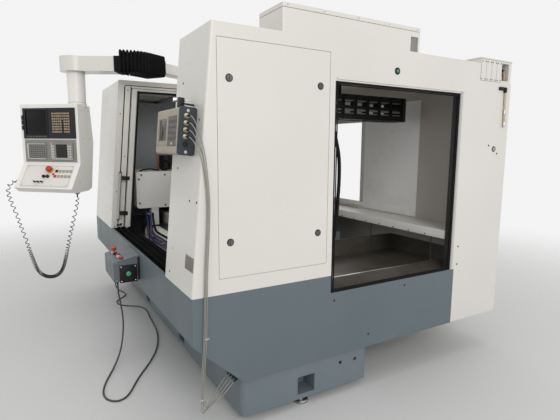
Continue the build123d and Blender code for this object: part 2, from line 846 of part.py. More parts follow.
def make_grinding_wheel():
    """Wheel between its flanges on the spindle nose."""
    x0 = wheel_x - wheel_width / 2
    x1 = wheel_x + wheel_width / 2
    disc = rod((x0, wheel_y, work_axis_z), (x1, wheel_y, work_axis_z), wheel_radius)
    disc = chamfer(disc.edges(), 4)
    flange = rod((x0 - 12, wheel_y, work_axis_z), (x0, wheel_y, work_axis_z), 90)
    shaft = rod((x1, wheel_y, work_axis_z), (x1 + guard_margin + 220, wheel_y, work_axis_z), spindle_nose)
    return disc + flange + shaft


# Pendant arm: post on the roof, inner arm, folded bellows round the elbow, outer arm.

inner_dir = Vector(elbow_x - arm_root_x, elbow_y - arm_root_y, 0).normalized()
outer_dir = Vector(tube_x - elbow_x, tube_y - elbow_y, 0).normalized()
inner_length = hypot(elbow_x - arm_root_x, elbow_y - arm_root_y)
outer_length = hypot(tube_x - elbow_x, tube_y - elbow_y)
arm_top = arm_bottom + outer_arm_height


def along(origin, direction, low, high, width, z0, z1):
    """Box that follows a level direction from a point."""
    plane = Plane(origin=(origin[0], origin[1], 0), x_dir=direction, z_dir=(0, 0, 1))
    return plane * block(low, high, -width / 2, width / 2, z0, z1)


def make_arm_post():
    """Bolted flange and short post behind the loading slot."""
    post_top = inner_arm_bottom - seat_gap
    post_foot = body_height + 16
    flange = Pos(arm_root_x, arm_root_y, body_height + 8) * Cylinder(120, 16)
    post = Pos(arm_root_x, arm_root_y, (post_foot + post_top) / 2) * Cylinder(72, post_top - post_foot)
    shape = flange + post
    for i in range(6):
        turn = radians(60 * i + 30)
        x = arm_root_x + 98 * cos(turn)
        y = arm_root_y + 98 * sin(turn)
        shape += Pos(x, y, post_foot + 4) * Cylinder(9, 8)
    return shape


def make_inner_arm():
    """Box arm that swings on the post; a narrow neck inside the bellows ends in the elbow pin."""
    z0 = inner_arm_bottom
    root = (arm_root_x, arm_root_y)
    stop = inner_length - bellows_inner_reach
    arm = along(root, inner_dir, -105, stop, inner_arm_width, z0, z0 + inner_arm_height)
    arm = fillet(edges_along(arm, Axis.Z), 20)
    neck = along(root, inner_dir, stop - 20, inner_length - 60, 100, z0 + 8, z0 + inner_arm_height - 12)
    fork = along(root, inner_dir, inner_length - 80, inner_length, 90, z0 + 8, z0 + 34)
    fork += Pos(elbow_x, elbow_y, z0 + 21) * Cylinder(45, 26)
    pin = Pos(elbow_x, elbow_y, z0 + 50) * Cylinder(22, 60)
    return arm + neck + fork + pin


def make_outer_arm():
    """Box arm with a round head over the pendant tube and an eye on the elbow pin."""
    elbow = (elbow_x, elbow_y)
    arm = along(elbow, outer_dir, bellows_outer_reach, outer_length, outer_arm_width, arm_bottom, arm_top)
    head_middle = (arm_bottom + arm_top) / 2
    head = Pos(tube_x, tube_y, head_middle) * Cylinder(arm_head_radius, outer_arm_height)
    z0 = inner_arm_bottom + 34 + seat_gap
    eye = along(elbow, outer_dir, 0, bellows_outer_reach + 10, 80, z0, z0 + 30)
    eye += Pos(elbow_x, elbow_y, z0 + 15) * Cylinder(40, 30)
    eye -= Pos(elbow_x, elbow_y, z0 + 15) * Cylinder(22 + seat_gap, 60)
    return arm + head + eye


def bellows_station(distance):
    """Point and direction on the bellows' middle line: straight, an arc at the elbow, straight."""
    corner = Vector(elbow_x, elbow_y, 0)
    into = outer_dir * -1
    away = inner_dir * -1
    turn = radians(into.get_angle(away))
    reach = bellows_bend * tan(turn / 2)
    first = bellows_outer_reach - reach
    arc = bellows_bend * turn
    side = Vector(-into.Y, into.X, 0)
    if side.dot(away) < 0:
        side = side * -1
    if distance <= first:
        return corner - into * (bellows_outer_reach - distance), into
    if distance >= first + arc:
        return corner + away * (reach + distance - first - arc), away
    angle = (distance - first) / bellows_bend
    centre = corner - into * reach + side * bellows_bend
    point = centre - side * bellows_bend * cos(angle) + into * bellows_bend * sin(angle)
    return point, into * cos(angle) + side * sin(angle)


def bellows_length():
    turn = radians((outer_dir * -1).get_angle(inner_dir * -1))
    reach = bellows_bend * tan(turn / 2)
    return bellows_outer_reach + bellows_inner_reach - 2 * reach + bellows_bend * turn


def bellows_ring(distance, half_width, low, high):
    """Rectangle across the bellows' middle line."""
    point, heading = bellows_station(distance)
    side = Vector(-heading.Y, heading.X, 0)
    corners = [
        point - side * half_width + Vector(0, 0, low), point + side * half_width + Vector(0, 0, low),
        point + side * half_width + Vector(0, 0, high), point - side * half_width + Vector(0, 0, high),
    ]
    return make_face(Polyline(*corners, close=True))


def make_arm_bellows():
    """Hollow pleated bellows that bends round the elbow between the two arms."""
    low = bellows_bottom
    high = bellows_bottom + bellows_height
    half = bellows_width / 2
    count = 2 * bellows_pleats
    pitch = (bellows_length() - 4 * seat_gap) / count
    body = None
    for i in range(count):
        rings = []
        inner = []
        for k in (i, i + 1):
            inset = 0 if k % 2 else bellows_pleat_depth
            distance = 2 * seat_gap + k * pitch
            rings.append(bellows_ring(distance, half - inset, low + inset, high - inset))
            wall = inset + 6 + (bellows_pleat_depth - inset) * 0.85
            inner.append(bellows_ring(distance, half - wall, low + wall, high - wall))
        pleat = loft(rings, ruled=True) - loft(inner, ruled=True)
        body = pleat if body is None else body + pleat
    return body


# Pendant, drawn with its face to the front at the middle of the display and then turned.

def turn_pendant(shape):
    return Pos(pendant_x, pendant_y, pendant_z) * Rot(0, 0, pendant_turn) * shape


def desk_plane():
    """Plane on the sloping desk, at its middle."""
    slope = Vector(0, -desk_reach, desk_bottom - pendant_face_bottom).normalized()
    normal = Vector(0, slope.Z, -slope.Y)
    middle = (0, -desk_reach / 2, (pendant_face_bottom + desk_bottom) / 2)
    return Plane(origin=middle, x_dir=(1, 0, 0), z_dir=normal)


def make_pendant_housing():
    """Front box with a sloping desk, a bulged rear box and the tube that carries both."""
    half = pendant_width / 2
    front = side_prism([
        (0, pendant_top), (0, pendant_face_bottom), (-desk_reach, desk_bottom),
        (-desk_reach + 56, pendant_foot),
        (front_box_depth, pendant_foot + 10), (front_box_depth, pendant_top),
    ], -half, half)
    rear = side_prism([
        (front_box_depth, pendant_top - 8), (rear_box_depth - 30, pendant_top - 9), (rear_box_depth, -164),
        (rear_box_depth - 53, pendant_foot + 27), (front_box_depth, pendant_foot + 14),
    ], -half + 8, half - 8)
    front -= block(-display_width / 2, display_width / 2, -5, 14, -display_height / 2, display_height / 2)
    front -= block(-lower_width / 2, lower_width / 2, -5, 10, lower_top - lower_height, lower_top)
    plane = desk_plane()
    slope_length = hypot(desk_reach, desk_bottom - pendant_face_bottom)
    front -= plane * Pos(0, 0, -2) * Box(desk_plate_width, slope_length - 30, 4)
    front -= plane * Pos(18, 54, -8) * Cylinder(12 + seat_gap, 16)
    housing = turn_pendant(front + rear)
    low = pendant_z + pendant_top
    tube_end = (tube_x, tube_y, arm_bottom - seat_gap)
    tube = rod((tube_x, tube_y, low - 20), tube_end, tube_bottom_radius, tube_top_radius)
    ring = Pos(tube_x, tube_y, low - 5) * Cylinder(tube_bottom_radius + 6, 30)
    x, y, z = curly_start_side
    side = rod((x + 4, y, z), (x - 12, y, z), 20)
    foot_at = (curly_foot_x, curly_foot_y)
    foot = rod((*foot_at, pendant_foot + 20), (*foot_at, pendant_foot - 14), 20)
    return housing + tube + ring + turn_pendant(side + foot)


def make_display_unit():
    """Screen half and keypad half in one dark bezel, with raised keys."""
    body = block(-display_width / 2, display_width / 2, -4, 14, -display_height / 2, display_height / 2)
    body -= block(-display_width / 2 + 26, -22, -10, 2, -display_height / 2 + 34, display_height / 2 - 18)
    body -= block(-8, -4, -10, 0, -display_height / 2, display_height / 2)
    for row in range(8):
        z = 82 - row * 22
        count = 9 if row < 3 else 5
        for column in range(count):
            x = 42 + column * 19.5
            body += block(x - 7, x + 7, -7, -3, z - 7, z + 7)
        if row >= 3:
            for column in range(3):
                x = 158 + column * 19.5
                body += block(x - 7, x + 7, -7, -3, z - 7, z + 7)
    return turn_pendant(body)


def make_lower_panel():
    """Grey plate with a slotted module on the left and a small readout on the right."""
    z1 = lower_top
    z0 = lower_top - lower_height
    body = block(-lower_width / 2, lower_width / 2, -2, 10, z0, z1)
    left = block(-226, -42, -12, 0, z0 + 24, z1 - 34)
    for i in range(9):
        left -= block(-208, -60, -14, -8, z0 + 34 + i * 13, z0 + 40 + i * 13)
    right = block(14, 226, -12, 0, z0 + 24, z1 - 26)
    right -= block(60, 172, -14, -8, z0 + 38, z1 - 40)
    for row in range(5):
        z = z0 + 46 + row * 22
        right += block(26, 44, -15, -11, z - 7, z + 7)
        for x in (186, 206):
            right += block(x - 7, x + 7, -15, -11, z - 7, z + 7)
    return turn_pendant(body + left + right)


def make_desk_plate():
    """Operator's plate on the desk with keys, rotary switches and lever switches."""
    plane = desk_plane()
    slope_length = hypot(desk_reach, desk_bottom - pendant_face_bottom)
    plate = Pos(0, 0, -1) * Box(desk_plate_width - 2, slope_length - 32, 6)
    plate += Pos(18, 54, 8) * Cylinder(22, 14)
    plate -= Pos(18, 54, 0) * Cylinder(12 + seat_gap, 60)
    for row in range(2):
        for column in range(5):
            plate += Pos(82 + column * 34, 46 - row * 50, 4) * Box(22, 22, 8)
    for x in (-26, 12):
        plate += Pos(x, -8, 8) * Cylinder(13, 16)
    for x in (-92, -58, -22):
        plate += Pos(x, -62, 4) * Cylinder(9, 6)
        plate += Pos(x, -62, 12) * Rot(18, 0, 0) * Cylinder(5, 26)
    return turn_pendant(plane * plate)


def make_pendant_stop():
    """Mushroom stop button on its yellow collar stem."""
    plane = desk_plane()
    stem = Pos(18, 54, 14) * Cylinder(12, 40)
    head = Pos(18, 54, 15 + stop_travel + 1 + 12) * Cylinder(26, 24)
    head = fillet(head.edges().group_by(Axis.Z)[-1], 6)
    return turn_pendant(plane * (stem + head))


# Control box on the front skirt.

box_stop = (box_x0 + 70, -130)
box_button = (-83, box_bottom + 61)
box_gland = (box_x0 + 198, -134)


def box_top(y):
    return box_back_top + (box_back_top - box_front_top) / box_reach * y


def make_control_box():
    """Console with a sloping top, a button plate on its right side and its cable gland below."""
    outline = [
        (0, box_bottom + 14), (-box_reach, box_bottom), (-box_reach, box_front_top), (0, box_back_top),
    ]
    body = side_prism(outline, box_x0, box_x1)
    body = fillet(body.edges().filter_by(Axis.X).group_by(Axis.Y)[0], 10)
    y, z = box_button
    body += block(box_x1, box_x1 + 4, y - 60, y + 60, z - 63, z + 63)
    body -= rod((box_x1 - 30, y, z), (box_x1 + 20, y, z), 14 + seat_gap)
    sx, sy = box_stop
    body -= rod((sx, sy, box_top(sy) - 30), (sx, sy, box_top(sy) + 30), 11 + seat_gap)
    for i in range(4):
        x = box_x0 + 135 + 58 * i
        body += Pos(x, sy + 10 * (i % 2), box_top(sy)) * Cylinder(13, 24)
    gx, gy = box_gland
    body += rod((gx, gy, box_bottom + 8), (gx, gy, box_bottom - 22), 12, 9)
    return body


def make_control_stop():
    sx, sy = box_stop
    base = box_top(sy)
    stem = rod((sx, sy, base - 24), (sx, sy, base + 22), 11)
    head = rod((sx, sy, base + 20), (sx, sy, base + 42), 20)
    head = fillet(head.edges().group_by(Axis.Z)[-1], 5)
    return stem + head


def make_start_button():
    y, z = box_button
    button = rod((box_x1 - 24, y, z), (box_x1 + 12, y, z), 14)
    return fillet(button.edges().group_by(Axis.X)[-1], 3)


# Gauge unit hung flat against the leaning front of the column. It is drawn about the middle of its
# back face and then leaned.

gauge_middle_z = gauge_bottom + gauge_height / 2
gauge_connector_y = -54
gauge_connectors = [77, 41, 6, -28]


def lean_gauge(shape):
    return Pos(0, front_y(gauge_middle_z), gauge_middle_z) * Rot(-lean, 0, 0) * shape


def make_gauge_case():
    """Moulded case with a stepped face, hung from a hook strap on the column."""
    half = gauge_height / 2
    front = -seat_gap - gauge_depth
    case = block(gauge_x0, gauge_x1 - gauge_side, front, -seat_gap, -half, half)
    case = fillet(edges_along(case, Axis.X), 14)
    case -= block(gauge_x0 + 40, gauge_x0 + 190, front - 5, front + 4, 66 - half, 190 - half)
    case -= block(gauge_x0 + 212, gauge_x1 - 40, front - 5, front + 3, 40 - half, 200 - half)
    case -= block(gauge_x0 - 5, gauge_x1, front - 5, front + 3, 44 - half, 48 - half)
    strap = block(-182, -158, -60, -44, half - 2, half + 24)
    strap += block(-182, -158, -60, -seat_gap, half + 18, half + 24)
    return lean_gauge(case + strap)


def make_gauge_side():
    """Side plate with four cable connectors and an empty socket."""
    half = gauge_height / 2
    front = -seat_gap - gauge_depth
    plate = block(gauge_x1 - gauge_side, gauge_x1, front - 2, -seat_gap, -half - 2, half + 2)
    plate = fillet(edges_along(plate, Axis.X), 14)
    y = gauge_connector_y
    for z in gauge_connectors:
        plate += rod((gauge_x1 - 2, y, z), (gauge_x1 + 12, y, z), 10)
        plate += rod((gauge_x1 + 10, y, z), (gauge_x1 + 30, y, z), 7)
    plate += rod((gauge_x1 - 2, y, -66), (gauge_x1 + 6, y, -66), 10)
    plate -= rod((gauge_x1 + 1, y, -66), (gauge_x1 + 9, y, -66), 7)
    return lean_gauge(plate)


# Cords: each is a tube along straight runs joined by tangent arcs.

def curve(start, leave, arrive, end, steps):
    """Points along a smooth bend between two ends and their two handles."""
    points = []
    for k in range(steps + 1):
        t = k / steps
        near = start * (1 - t) ** 3 + leave * (3 * t * (1 - t) ** 2)
        far = arrive * (3 * t ** 2 * (1 - t)) + end * t ** 3
        points.append(tuple(near + far))
    return points


def cord_radii(points):
    radii = []
    for before, here, after in zip(points, points[1:], points[2:]):
        a = Vector(*here) - Vector(*before)
        b = Vector(*after) - Vector(*here)
        turn = radians(a.get_angle(b))
        radii.append(0.45 * min(a.length, b.length) / tan(turn / 2))
    return radii


def cord(name, points, diameter):
    radii = cord_radii(points)
    path = FilletPolyline(*points, radius=radii)
    start = Plane(origin=points[0], z_dir=Vector(*points[1]) - Vector(*points[0]))
    tube = sweep(start * Circle(diameter / 2), path=path)
    share = tube.volume / (pi * diameter ** 2 / 4 * path.length)
    print(name, "length", round(path.length), "volume share", round(share, 4))
    print("radii", [round(r) for r in radii])
    add(name, tube)


# The four gauge cables fan out from the connectors, pass the column's corner and hang as one bundle
# beside the skirt, then loop back to the glands under the skirt.
bundle = [
    (5, 90, 1380), (6, 92.5, 1306), (6, 91, 1232), (7, 87, 1158), (7, 82, 1084), (6, 77.5, 1010),
    (6, 74, 936), (7, 71.2, 862), (7, 69, 788), (6, 67.2, 714), (6, 65, 640), (5, 61.5, 566), (4, 56.5, 492),
    (3, 51, 418), (2, 46.5, 344), (1, 44.5, 284),
]
bundle_top = (4, 84, 1452)
cable_lanes = [(16.4, 5.4), (16.4, -3), (9, 1.2), (9, -7.2)]
loop_drops = [100, 160, 130, 190]
gland_order = [3, 1, 2, 0]


def gauge_cable_route(i):
    lane_x, lane_y = cable_lanes[i]
    start = lean_gauge(Pos(gauge_x1 + 30, gauge_connector_y, gauge_connectors[i])).position
    clear = start + Vector(22, 0, 0)
    top = Vector(bundle_top[0] + lane_x, bundle_top[1] + lane_y, bundle_top[2])
    above = top + Vector(0, -6, 0.5 * (clear.Z - top.Z))
    fan = curve(clear, clear + Vector(46 + lane_x, 4, -4), above, top, round((clear - top).length / 50))
    drop = [(x + lane_x, y + lane_y, z) for x, y, z in bundle]
    x, y = glands[gland_order[i]]
    mouth = Vector(*gland_point(x, y, gland_depth))
    near = Vector(*gland_point(x, y, 2 * gland_depth))
    out = (near - mouth) * (loop_drops[i] * 1.1 / gland_depth)
    last = Vector(*drop[-1])
    loop = curve(last, last + Vector(-2, -5, -1.15 * loop_drops[i]), near + out, near, 6)
    return [tuple(start)] + fan + drop + loop[1:] + [tuple(mouth)]


box_end_points = [
    (0, 0, -22), (0, 0, -68), (6, 2, -126), (26, 10, -196), (46, 18, -276), (50, 20, -361), (56, 12, -444),
]
floor_points = [
    (90, -8, 96), (156, -46, 42), (240, -94, 14), (344, -148, 6), (448, -192, 6), (542, -214, 6),
    (622, -206, 6), (678, -162, 6), (672, -102, 6), (608, -52, 6), (512, -2, 6), (412, 58, 6),
    (314, 126, 6), (207, 192, 6), (92, 250, 6), (-38, 298, 6), (-178, 336, 6), (-328, 360, 6),
    (-488, 372, 6), (-648, 380, 6), (-778, 396, 6),
]
bed_end_points = [
    (764, -8, 6), (682, -46, 6), (630, -126, 6), (560, -200, 6), (460, -220, 6), (370, -176, 6),
    (310, -106, 6), (230, -76, 6), (148, -90, 6), (80, -120, 10), (30, -140, 34), (4, -144, 78),
    (-2, -124, 122), (0, -82, 146), (0, -40, 150), (0, 0, 150),
]


def floor_cable_route():
    """From the control box down to the floor, past the skirt in a loop, and up to the bed's gland."""
    x, y = box_gland
    from_box = [(x + dx, y + dy, box_bottom + dz) for dx, dy, dz in box_end_points]
    on_floor = [(x + dx, y + dy, z) for dx, dy, z in floor_points]
    to_bed = [(floor_gland_x + dx, bed_front - 26 + dy, z) for dx, dy, z in bed_end_points]
    return from_box + on_floor + to_bed


curly_left_leg = [
    (-223, -342, -634), (-206, -323, -706), (-180, -294, -796), (-160, -268, -906), (-142, -238, -1016),
    (-128, -216, -1116), (-114, -194, -1201),
]
curly_right_leg = [
    (34, 60, -1196), (45, 78, -1106), (58, 102, -996), (75, 128, -886), (102, 152, -776),
]
curly_loop_middle = (-41, -68, -1239)
curly_loop_turn = 59


def curly_route():
    """Out of the pendant's left side, down in a hanging loop and up into its underside."""
    x, y, z = curly_start_side
    exit_x = x - 12
    points = [turn_pendant(Pos(exit_x, y, z)).position]
    for k in range(6):
        angle = radians(18 * k)
        out = 26 + curly_bend * sin(angle)
        points.append(turn_pendant(Pos(exit_x - out, y, z - curly_bend * (1 - cos(angle)))).position)
    middle = Vector(pendant_x, pendant_y, pendant_z)
    for place in curly_left_leg:
        points.append(middle + Vector(*place))
    heading = Vector(cos(radians(curly_loop_turn)), sin(radians(curly_loop_turn)), 0)
    for k in range(6):
        angle = radians(20 + 28 * k)
        across = heading * (-curly_loop_radius * cos(angle))
        drop = Vector(0, 0, -curly_loop_radius * sin(angle))
        points.append(middle + Vector(*curly_loop_middle) + across + drop)
    for place in curly_right_leg:
        points.append(middle + Vector(*place))
    for below in (84, 14):
        points.append(turn_pendant(Pos(curly_foot_x, curly_foot_y, pendant_foot - below)).position)
    return [tuple(p) for p in points]


def build_all():
    add("machine_bed", make_machine_bed())
    add("levelling_feet", make_levelling_feet())
    add("right_skirt", make_right_skirt())
    add("front_skirt", make_front_skirt())
    add("right_column", make_right_column())
    add("access_panel", make_access_panel())
    for name, (y, z, side) in latch_places.items():
        add(name, make_latch(y, z, side))
    add("side_frame", make_side_frame())
    add("side_seal", make_side_seal())
    add("side_button", make_side_button())
    add("rear_side_panel", make_rear_side_panel())
    add("panel_lock", make_panel_lock())
    add("roof_panel", make_roof_panel())
    add("roof_hood", make_roof_hood())
    add("rear_cabinet", make_rear_cabinet())
    add("end_cover_plates", make_end_cover_plates())
    add("left_cover", make_left_cover())
    add("trail_leaf", make_leaf(trail_offset, trail_thickness, trail_roof_z, trail_edge))
    add("lead_leaf", make_leaf(lead_offset, lead_thickness, lead_roof_z, lead_edge))
    add("door_lip", make_door_lip())
    add("door_handle", make_door_handle())
    add("door_sill", make_door_sill())
    add("door_rail", make_door_rail())
    add("inner_left_wall", make_inner_left_wall())
    add("rear_wall", make_rear_wall())
    add("chip_tray", make_chip_tray())
    add("cable_chain", make_cable_chain())
    add("work_table", make_work_table())
    add("workhead", make_workhead())
    add("workhead_cover", make_workhead_cover())
    add("work_spindle", make_work_spindle())
    add("tailstock", make_tailstock())
    add("tailstock_quill", make_tailstock_quill())
    add("wheel_slide", make_wheel_slide())
    add("wheelhead", make_wheelhead())
    add("wheel_guard", make_wheel_guard())
    add("grinding_wheel", make_grinding_wheel())
    add("arm_post", make_arm_post())
    add("inner_arm", make_inner_arm())
    add("arm_bellows", make_arm_bellows())
    add("outer_arm", make_outer_arm())
    add("pendant_housing", make_pendant_housing())
    add("display_unit", make_display_unit())
    add("lower_panel", make_lower_panel())
    add("desk_plate", make_desk_plate())
    add("pendant_stop", make_pendant_stop())
    add("control_box", make_control_box())
    add("control_stop", make_control_stop())
    add("start_button", make_start_button())
    add("gauge_case", make_gauge_case())
    add("gauge_side", make_gauge_side())
    for i in range(4):
        cord(f"gauge_cable_{i + 1}", gauge_cable_route(i), gauge_cable_diameter)
    cord("floor_cable", floor_cable_route(), floor_cable_diameter)
    cord("curly_cord", curly_route(), curly_diameter)


build_all()
os.makedirs("parts", exist_ok=True)
for name, shape in nodes.items():
    export_step(Pos(-footprint_x, -footprint_y, 0) * shape, f"parts/{name}.step")
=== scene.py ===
import bpy
import bmesh
import json
from functools import partial
from math import atan2, cos, pi, radians, sin, tan
from mathutils import Matrix, Vector


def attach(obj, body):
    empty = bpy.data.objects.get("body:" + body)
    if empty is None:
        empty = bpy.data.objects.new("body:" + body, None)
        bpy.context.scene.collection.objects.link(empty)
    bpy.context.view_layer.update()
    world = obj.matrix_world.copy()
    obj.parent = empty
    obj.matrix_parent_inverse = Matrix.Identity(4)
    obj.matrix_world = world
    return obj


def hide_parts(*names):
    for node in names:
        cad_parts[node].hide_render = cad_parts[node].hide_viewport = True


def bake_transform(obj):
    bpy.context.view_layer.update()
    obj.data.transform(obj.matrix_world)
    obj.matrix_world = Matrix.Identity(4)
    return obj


# Looks of the cylindrical grinder. Details are placed in millimetres from the lower right front corner
# of the enclosure, as the part is drawn, and put in the frame's metres by at().
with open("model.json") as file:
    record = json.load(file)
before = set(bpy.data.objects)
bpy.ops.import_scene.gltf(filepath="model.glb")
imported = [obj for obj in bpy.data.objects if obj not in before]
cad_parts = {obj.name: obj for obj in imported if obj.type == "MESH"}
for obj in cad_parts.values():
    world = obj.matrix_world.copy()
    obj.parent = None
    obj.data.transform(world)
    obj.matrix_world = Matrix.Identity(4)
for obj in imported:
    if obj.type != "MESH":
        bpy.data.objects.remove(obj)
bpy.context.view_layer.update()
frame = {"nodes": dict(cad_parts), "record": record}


def mm(x, y, z):
    return Vector((x, y, z)) / 1000


def at(x, y, z):
    return Vector((x / 1000 + 1.61, y / 1000 - 0.892, z / 1000))


def put(name, data):
    """New object in the scene."""
    made = bpy.data.objects.new(name, data)
    bpy.context.scene.collection.objects.link(made)
    return made


# Camera at the photograph's place.
camera = put("camera", bpy.data.cameras.new("camera"))
camera.data.lens = 28.41
camera.data.sensor_width = 36
camera.data.sensor_fit = "HORIZONTAL"
camera.data.clip_end = 100
right = Vector((0.50600701, 0.86249966, 0.00715832))
up = Vector((-0.1255912, 0.06546538, 0.98991976))
back = Vector((0.85333683, -0.50180537, 0.1414483))
turn = Matrix((right, up, back)).transposed().to_4x4()
camera.matrix_world = Matrix.Translation((3.718, -1.61, 1.6)) @ turn
bpy.context.scene.camera = camera


# Materials: each has its own colour drift, roughness drift and surface grain.
materials = {}
rough_drift = 0.05


def add_node(tree, kind, values=None, sources=None, **settings):
    """New shader node with its settings, its constants and what feeds it."""
    node = tree.nodes.new("ShaderNode" + kind)
    for key, value in settings.items():
        setattr(node, key, value)
    for key, value in (values or {}).items():
        node.inputs[key].default_value = value
    for key, source in (sources or {}).items():
        tree.links.new(source, node.inputs[key])
    return node


def material(name, color, rough, grain, grain_size, drift, drift_size, metal=0.0, tint=None, stretch=(1, 1, 1),
             coat=0.0, specular=0.5, speckle=None):
    """Paint or plastic whose colour, sheen and grain vary by noise; sizes in metres."""
    mat = bpy.data.materials.new(name)
    mat.use_nodes = True
    tree = mat.node_tree
    shader = tree.nodes["Principled BSDF"]
    for socket, value in (("Metallic", metal), ("Specular IOR Level", specular), ("Coat Weight", coat),
                          ("Coat Roughness", 0.12)):
        shader.inputs[socket].default_value = value
    place = add_node(tree, "TexCoord").outputs["Object"]
    stretched = add_node(tree, "Mapping", {"Scale": stretch}, {"Vector": place}).outputs["Vector"]

    def noise(size, detail, source):
        values = {"Scale": 1 / size, "Detail": detail}
        return add_node(tree, "TexNoise", values, {"Vector": source}).outputs["Fac"]

    def spread(source, low, high, start=0.3, end=0.7):
        values = {"From Min": start, "From Max": end, "To Min": low, "To Max": high}
        return add_node(tree, "MapRange", values, {"Value": source}).outputs["Result"]

    broad = noise(drift_size, 5, place)
    fine = noise(grain_size, 3, stretched)
    sheen = noise(drift_size * 0.6, 2, place)
    dark = tint or tuple(c * (1 - drift) for c in color)
    tone = add_node(tree, "Mix", {"A": (*color, 1), "B": (*dark, 1)}, {"Factor": spread(broad, 0, 1)},
                    data_type="RGBA").outputs["Result"]
    if speckle:
        tone = add_node(tree, "Mix", {"B": (*speckle, 1)},
                        {"A": tone, "Factor": spread(fine, 0, 1, 0.5, 0.72)}, data_type="RGBA").outputs["Result"]
    gloss = spread(sheen, max(0.04, rough - rough_drift), min(1, rough + rough_drift))
    bump = add_node(tree, "Bump", {"Strength": min(1, grain * 0.5), "Distance": 0.0008}, {"Height": fine})
    for socket, source in (("Base Color", tone), ("Roughness", gloss), ("Normal", bump.outputs["Normal"])):
        tree.links.new(source, shader.inputs[socket])
    materials[name] = mat


material("white_paint", (0.7, 0.68, 0.635), 0.3, 0.03, 0.0035, 0.05, 0.8, coat=0.15)
material("pendant_paint", (0.84, 0.815, 0.775), 0.32, 0.03, 0.003, 0.05, 0.5, coat=0.1)
material("inner_paint", (0.82, 0.8, 0.765), 0.38, 0.03, 0.003, 0.08, 0.4)
material("inner_wall_paint", (0.32, 0.335, 0.35), 0.45, 0.03, 0.003, 0.16, 0.5)
material("wall_paint", (0.5, 0.47, 0.43), 0.42, 0.03, 0.003, 0.14, 0.6)
material("wall_sheet", (0.9, 0.895, 0.88), 0.3, 0.03, 0.003, 0.1, 0.5)
material("grey_paint", (0.132, 0.162, 0.176), 0.42, 0.03, 0.0035, 0.1, 0.7, specular=0.25)
material("bed_paint", (0.155, 0.188, 0.208), 0.44, 0.5, 0.006, 0.16, 0.4)
material("box_paint", (0.115, 0.135, 0.148), 0.42, 0.35, 0.002, 0.12, 0.1)
material("dark_paint", (0.006, 0.006, 0.007), 0.8, 0.2, 0.003, 0.3, 0.3, specular=0.03)
material("tray_paint", (0.135, 0.122, 0.104), 0.36, 0.3, 0.004, 0.45, 0.22, metal=0.4)
material("machined", (0.52, 0.52, 0.51), 0.3, 0.25, 0.0012, 0.14, 0.35, metal=1.0, stretch=(0.08, 1, 1))
material("steel", (0.46, 0.46, 0.46), 0.34, 0.2, 0.0015, 0.15, 0.05, metal=1.0)
material("latch_steel", (0.17, 0.17, 0.165), 0.34, 0.2, 0.0015, 0.35, 0.02, metal=1.0)
material("bright_steel", (0.72, 0.72, 0.7), 0.2, 0.1, 0.001, 0.1, 0.05, metal=1.0)
material("brass", (0.42, 0.33, 0.17), 0.34, 0.1, 0.001, 0.12, 0.03, metal=1.0)
material("handle_metal", (0.44, 0.43, 0.4), 0.36, 0.25, 0.0012, 0.1, 0.35, metal=0.6, stretch=(1, 1, 0.05))
material("seal_rubber", (0.007, 0.007, 0.008), 0.65, 0.4, 0.0015, 0.4, 0.15, specular=0.15)
material("bellows_rubber", (0.005, 0.005, 0.006), 0.7, 0.4, 0.002, 0.5, 0.08, specular=0.15)
material("black_plastic", (0.009, 0.009, 0.01), 0.45, 0.4, 0.0012, 0.3, 0.06, specular=0.3)
material("bezel", (0.02, 0.021, 0.023), 0.45, 0.4, 0.001, 0.12, 0.2, specular=0.25)
material("screen", (0.004, 0.004, 0.005), 0.12, 0.02, 0.02, 0.3, 0.3, specular=0.2)
material("display_dark", (0.018, 0.02, 0.018), 0.16, 0.05, 0.004, 0.3, 0.06, specular=0.3)
material("panel_grey", (0.245, 0.238, 0.215), 0.42, 0.35, 0.001, 0.08, 0.2)
material("module_dark", (0.105, 0.105, 0.102), 0.5, 0.4, 0.001, 0.15, 0.05)
material("module_pale", (0.56, 0.55, 0.52), 0.4, 0.3, 0.001, 0.08, 0.1)
material("desk_face", (0.76, 0.73, 0.68), 0.45, 0.25, 0.0012, 0.05, 0.25, specular=0.3)
material("key_beige", (0.4, 0.335, 0.215), 0.5, 0.3, 0.0008, 0.3, 0.025, tint=(0.25, 0.17, 0.09))
material("key_pale", (0.38, 0.345, 0.27), 0.5, 0.3, 0.0008, 0.12, 0.03)
material("red_plastic", (0.5, 0.022, 0.016), 0.32, 0.2, 0.001, 0.15, 0.03, coat=0.2)
material("yellow_plastic", (0.68, 0.44, 0.03), 0.36, 0.2, 0.001, 0.12, 0.03)
material("green_plastic", (0.045, 0.36, 0.17), 0.3, 0.2, 0.001, 0.15, 0.02, coat=0.2)
material("dark_green", (0.008, 0.05, 0.028), 0.3, 0.2, 0.001, 0.2, 0.02, coat=0.2)
material("gauge_plastic", (0.38, 0.34, 0.265), 0.5, 0.5, 0.0012, 0.08, 0.1)
material("gauge_dark", (0.11, 0.105, 0.09), 0.5, 0.5, 0.0012, 0.2, 0.02, speckle=(0.2, 0.19, 0.16))
material("gauge_blue", (0.034, 0.043, 0.054), 0.5, 0.5, 0.0012, 0.12, 0.08, specular=0.3)
material("abrasive", (0.42, 0.4, 0.38), 0.85, 1.6, 0.0009, 0.12, 0.05, speckle=(0.62, 0.6, 0.58))
material("cable_grey", (0.29, 0.275, 0.235), 0.5, 0.3, 0.0015, 0.14, 0.09)
material("cable_black", (0.055, 0.053, 0.048), 0.5, 0.3, 0.0015, 0.3, 0.12)
material("curl_black", (0.01, 0.01, 0.011), 0.42, 0.3, 0.0015, 0.3, 0.12)
material("hose_blue", (0.006, 0.025, 0.12), 0.42, 0.2, 0.002, 0.3, 0.08)
material("copper_brown", (0.22, 0.085, 0.045), 0.45, 0.3, 0.002, 0.25, 0.06)
material("plate_grey", (0.165, 0.145, 0.12), 0.45, 0.2, 0.002, 0.08, 0.05)
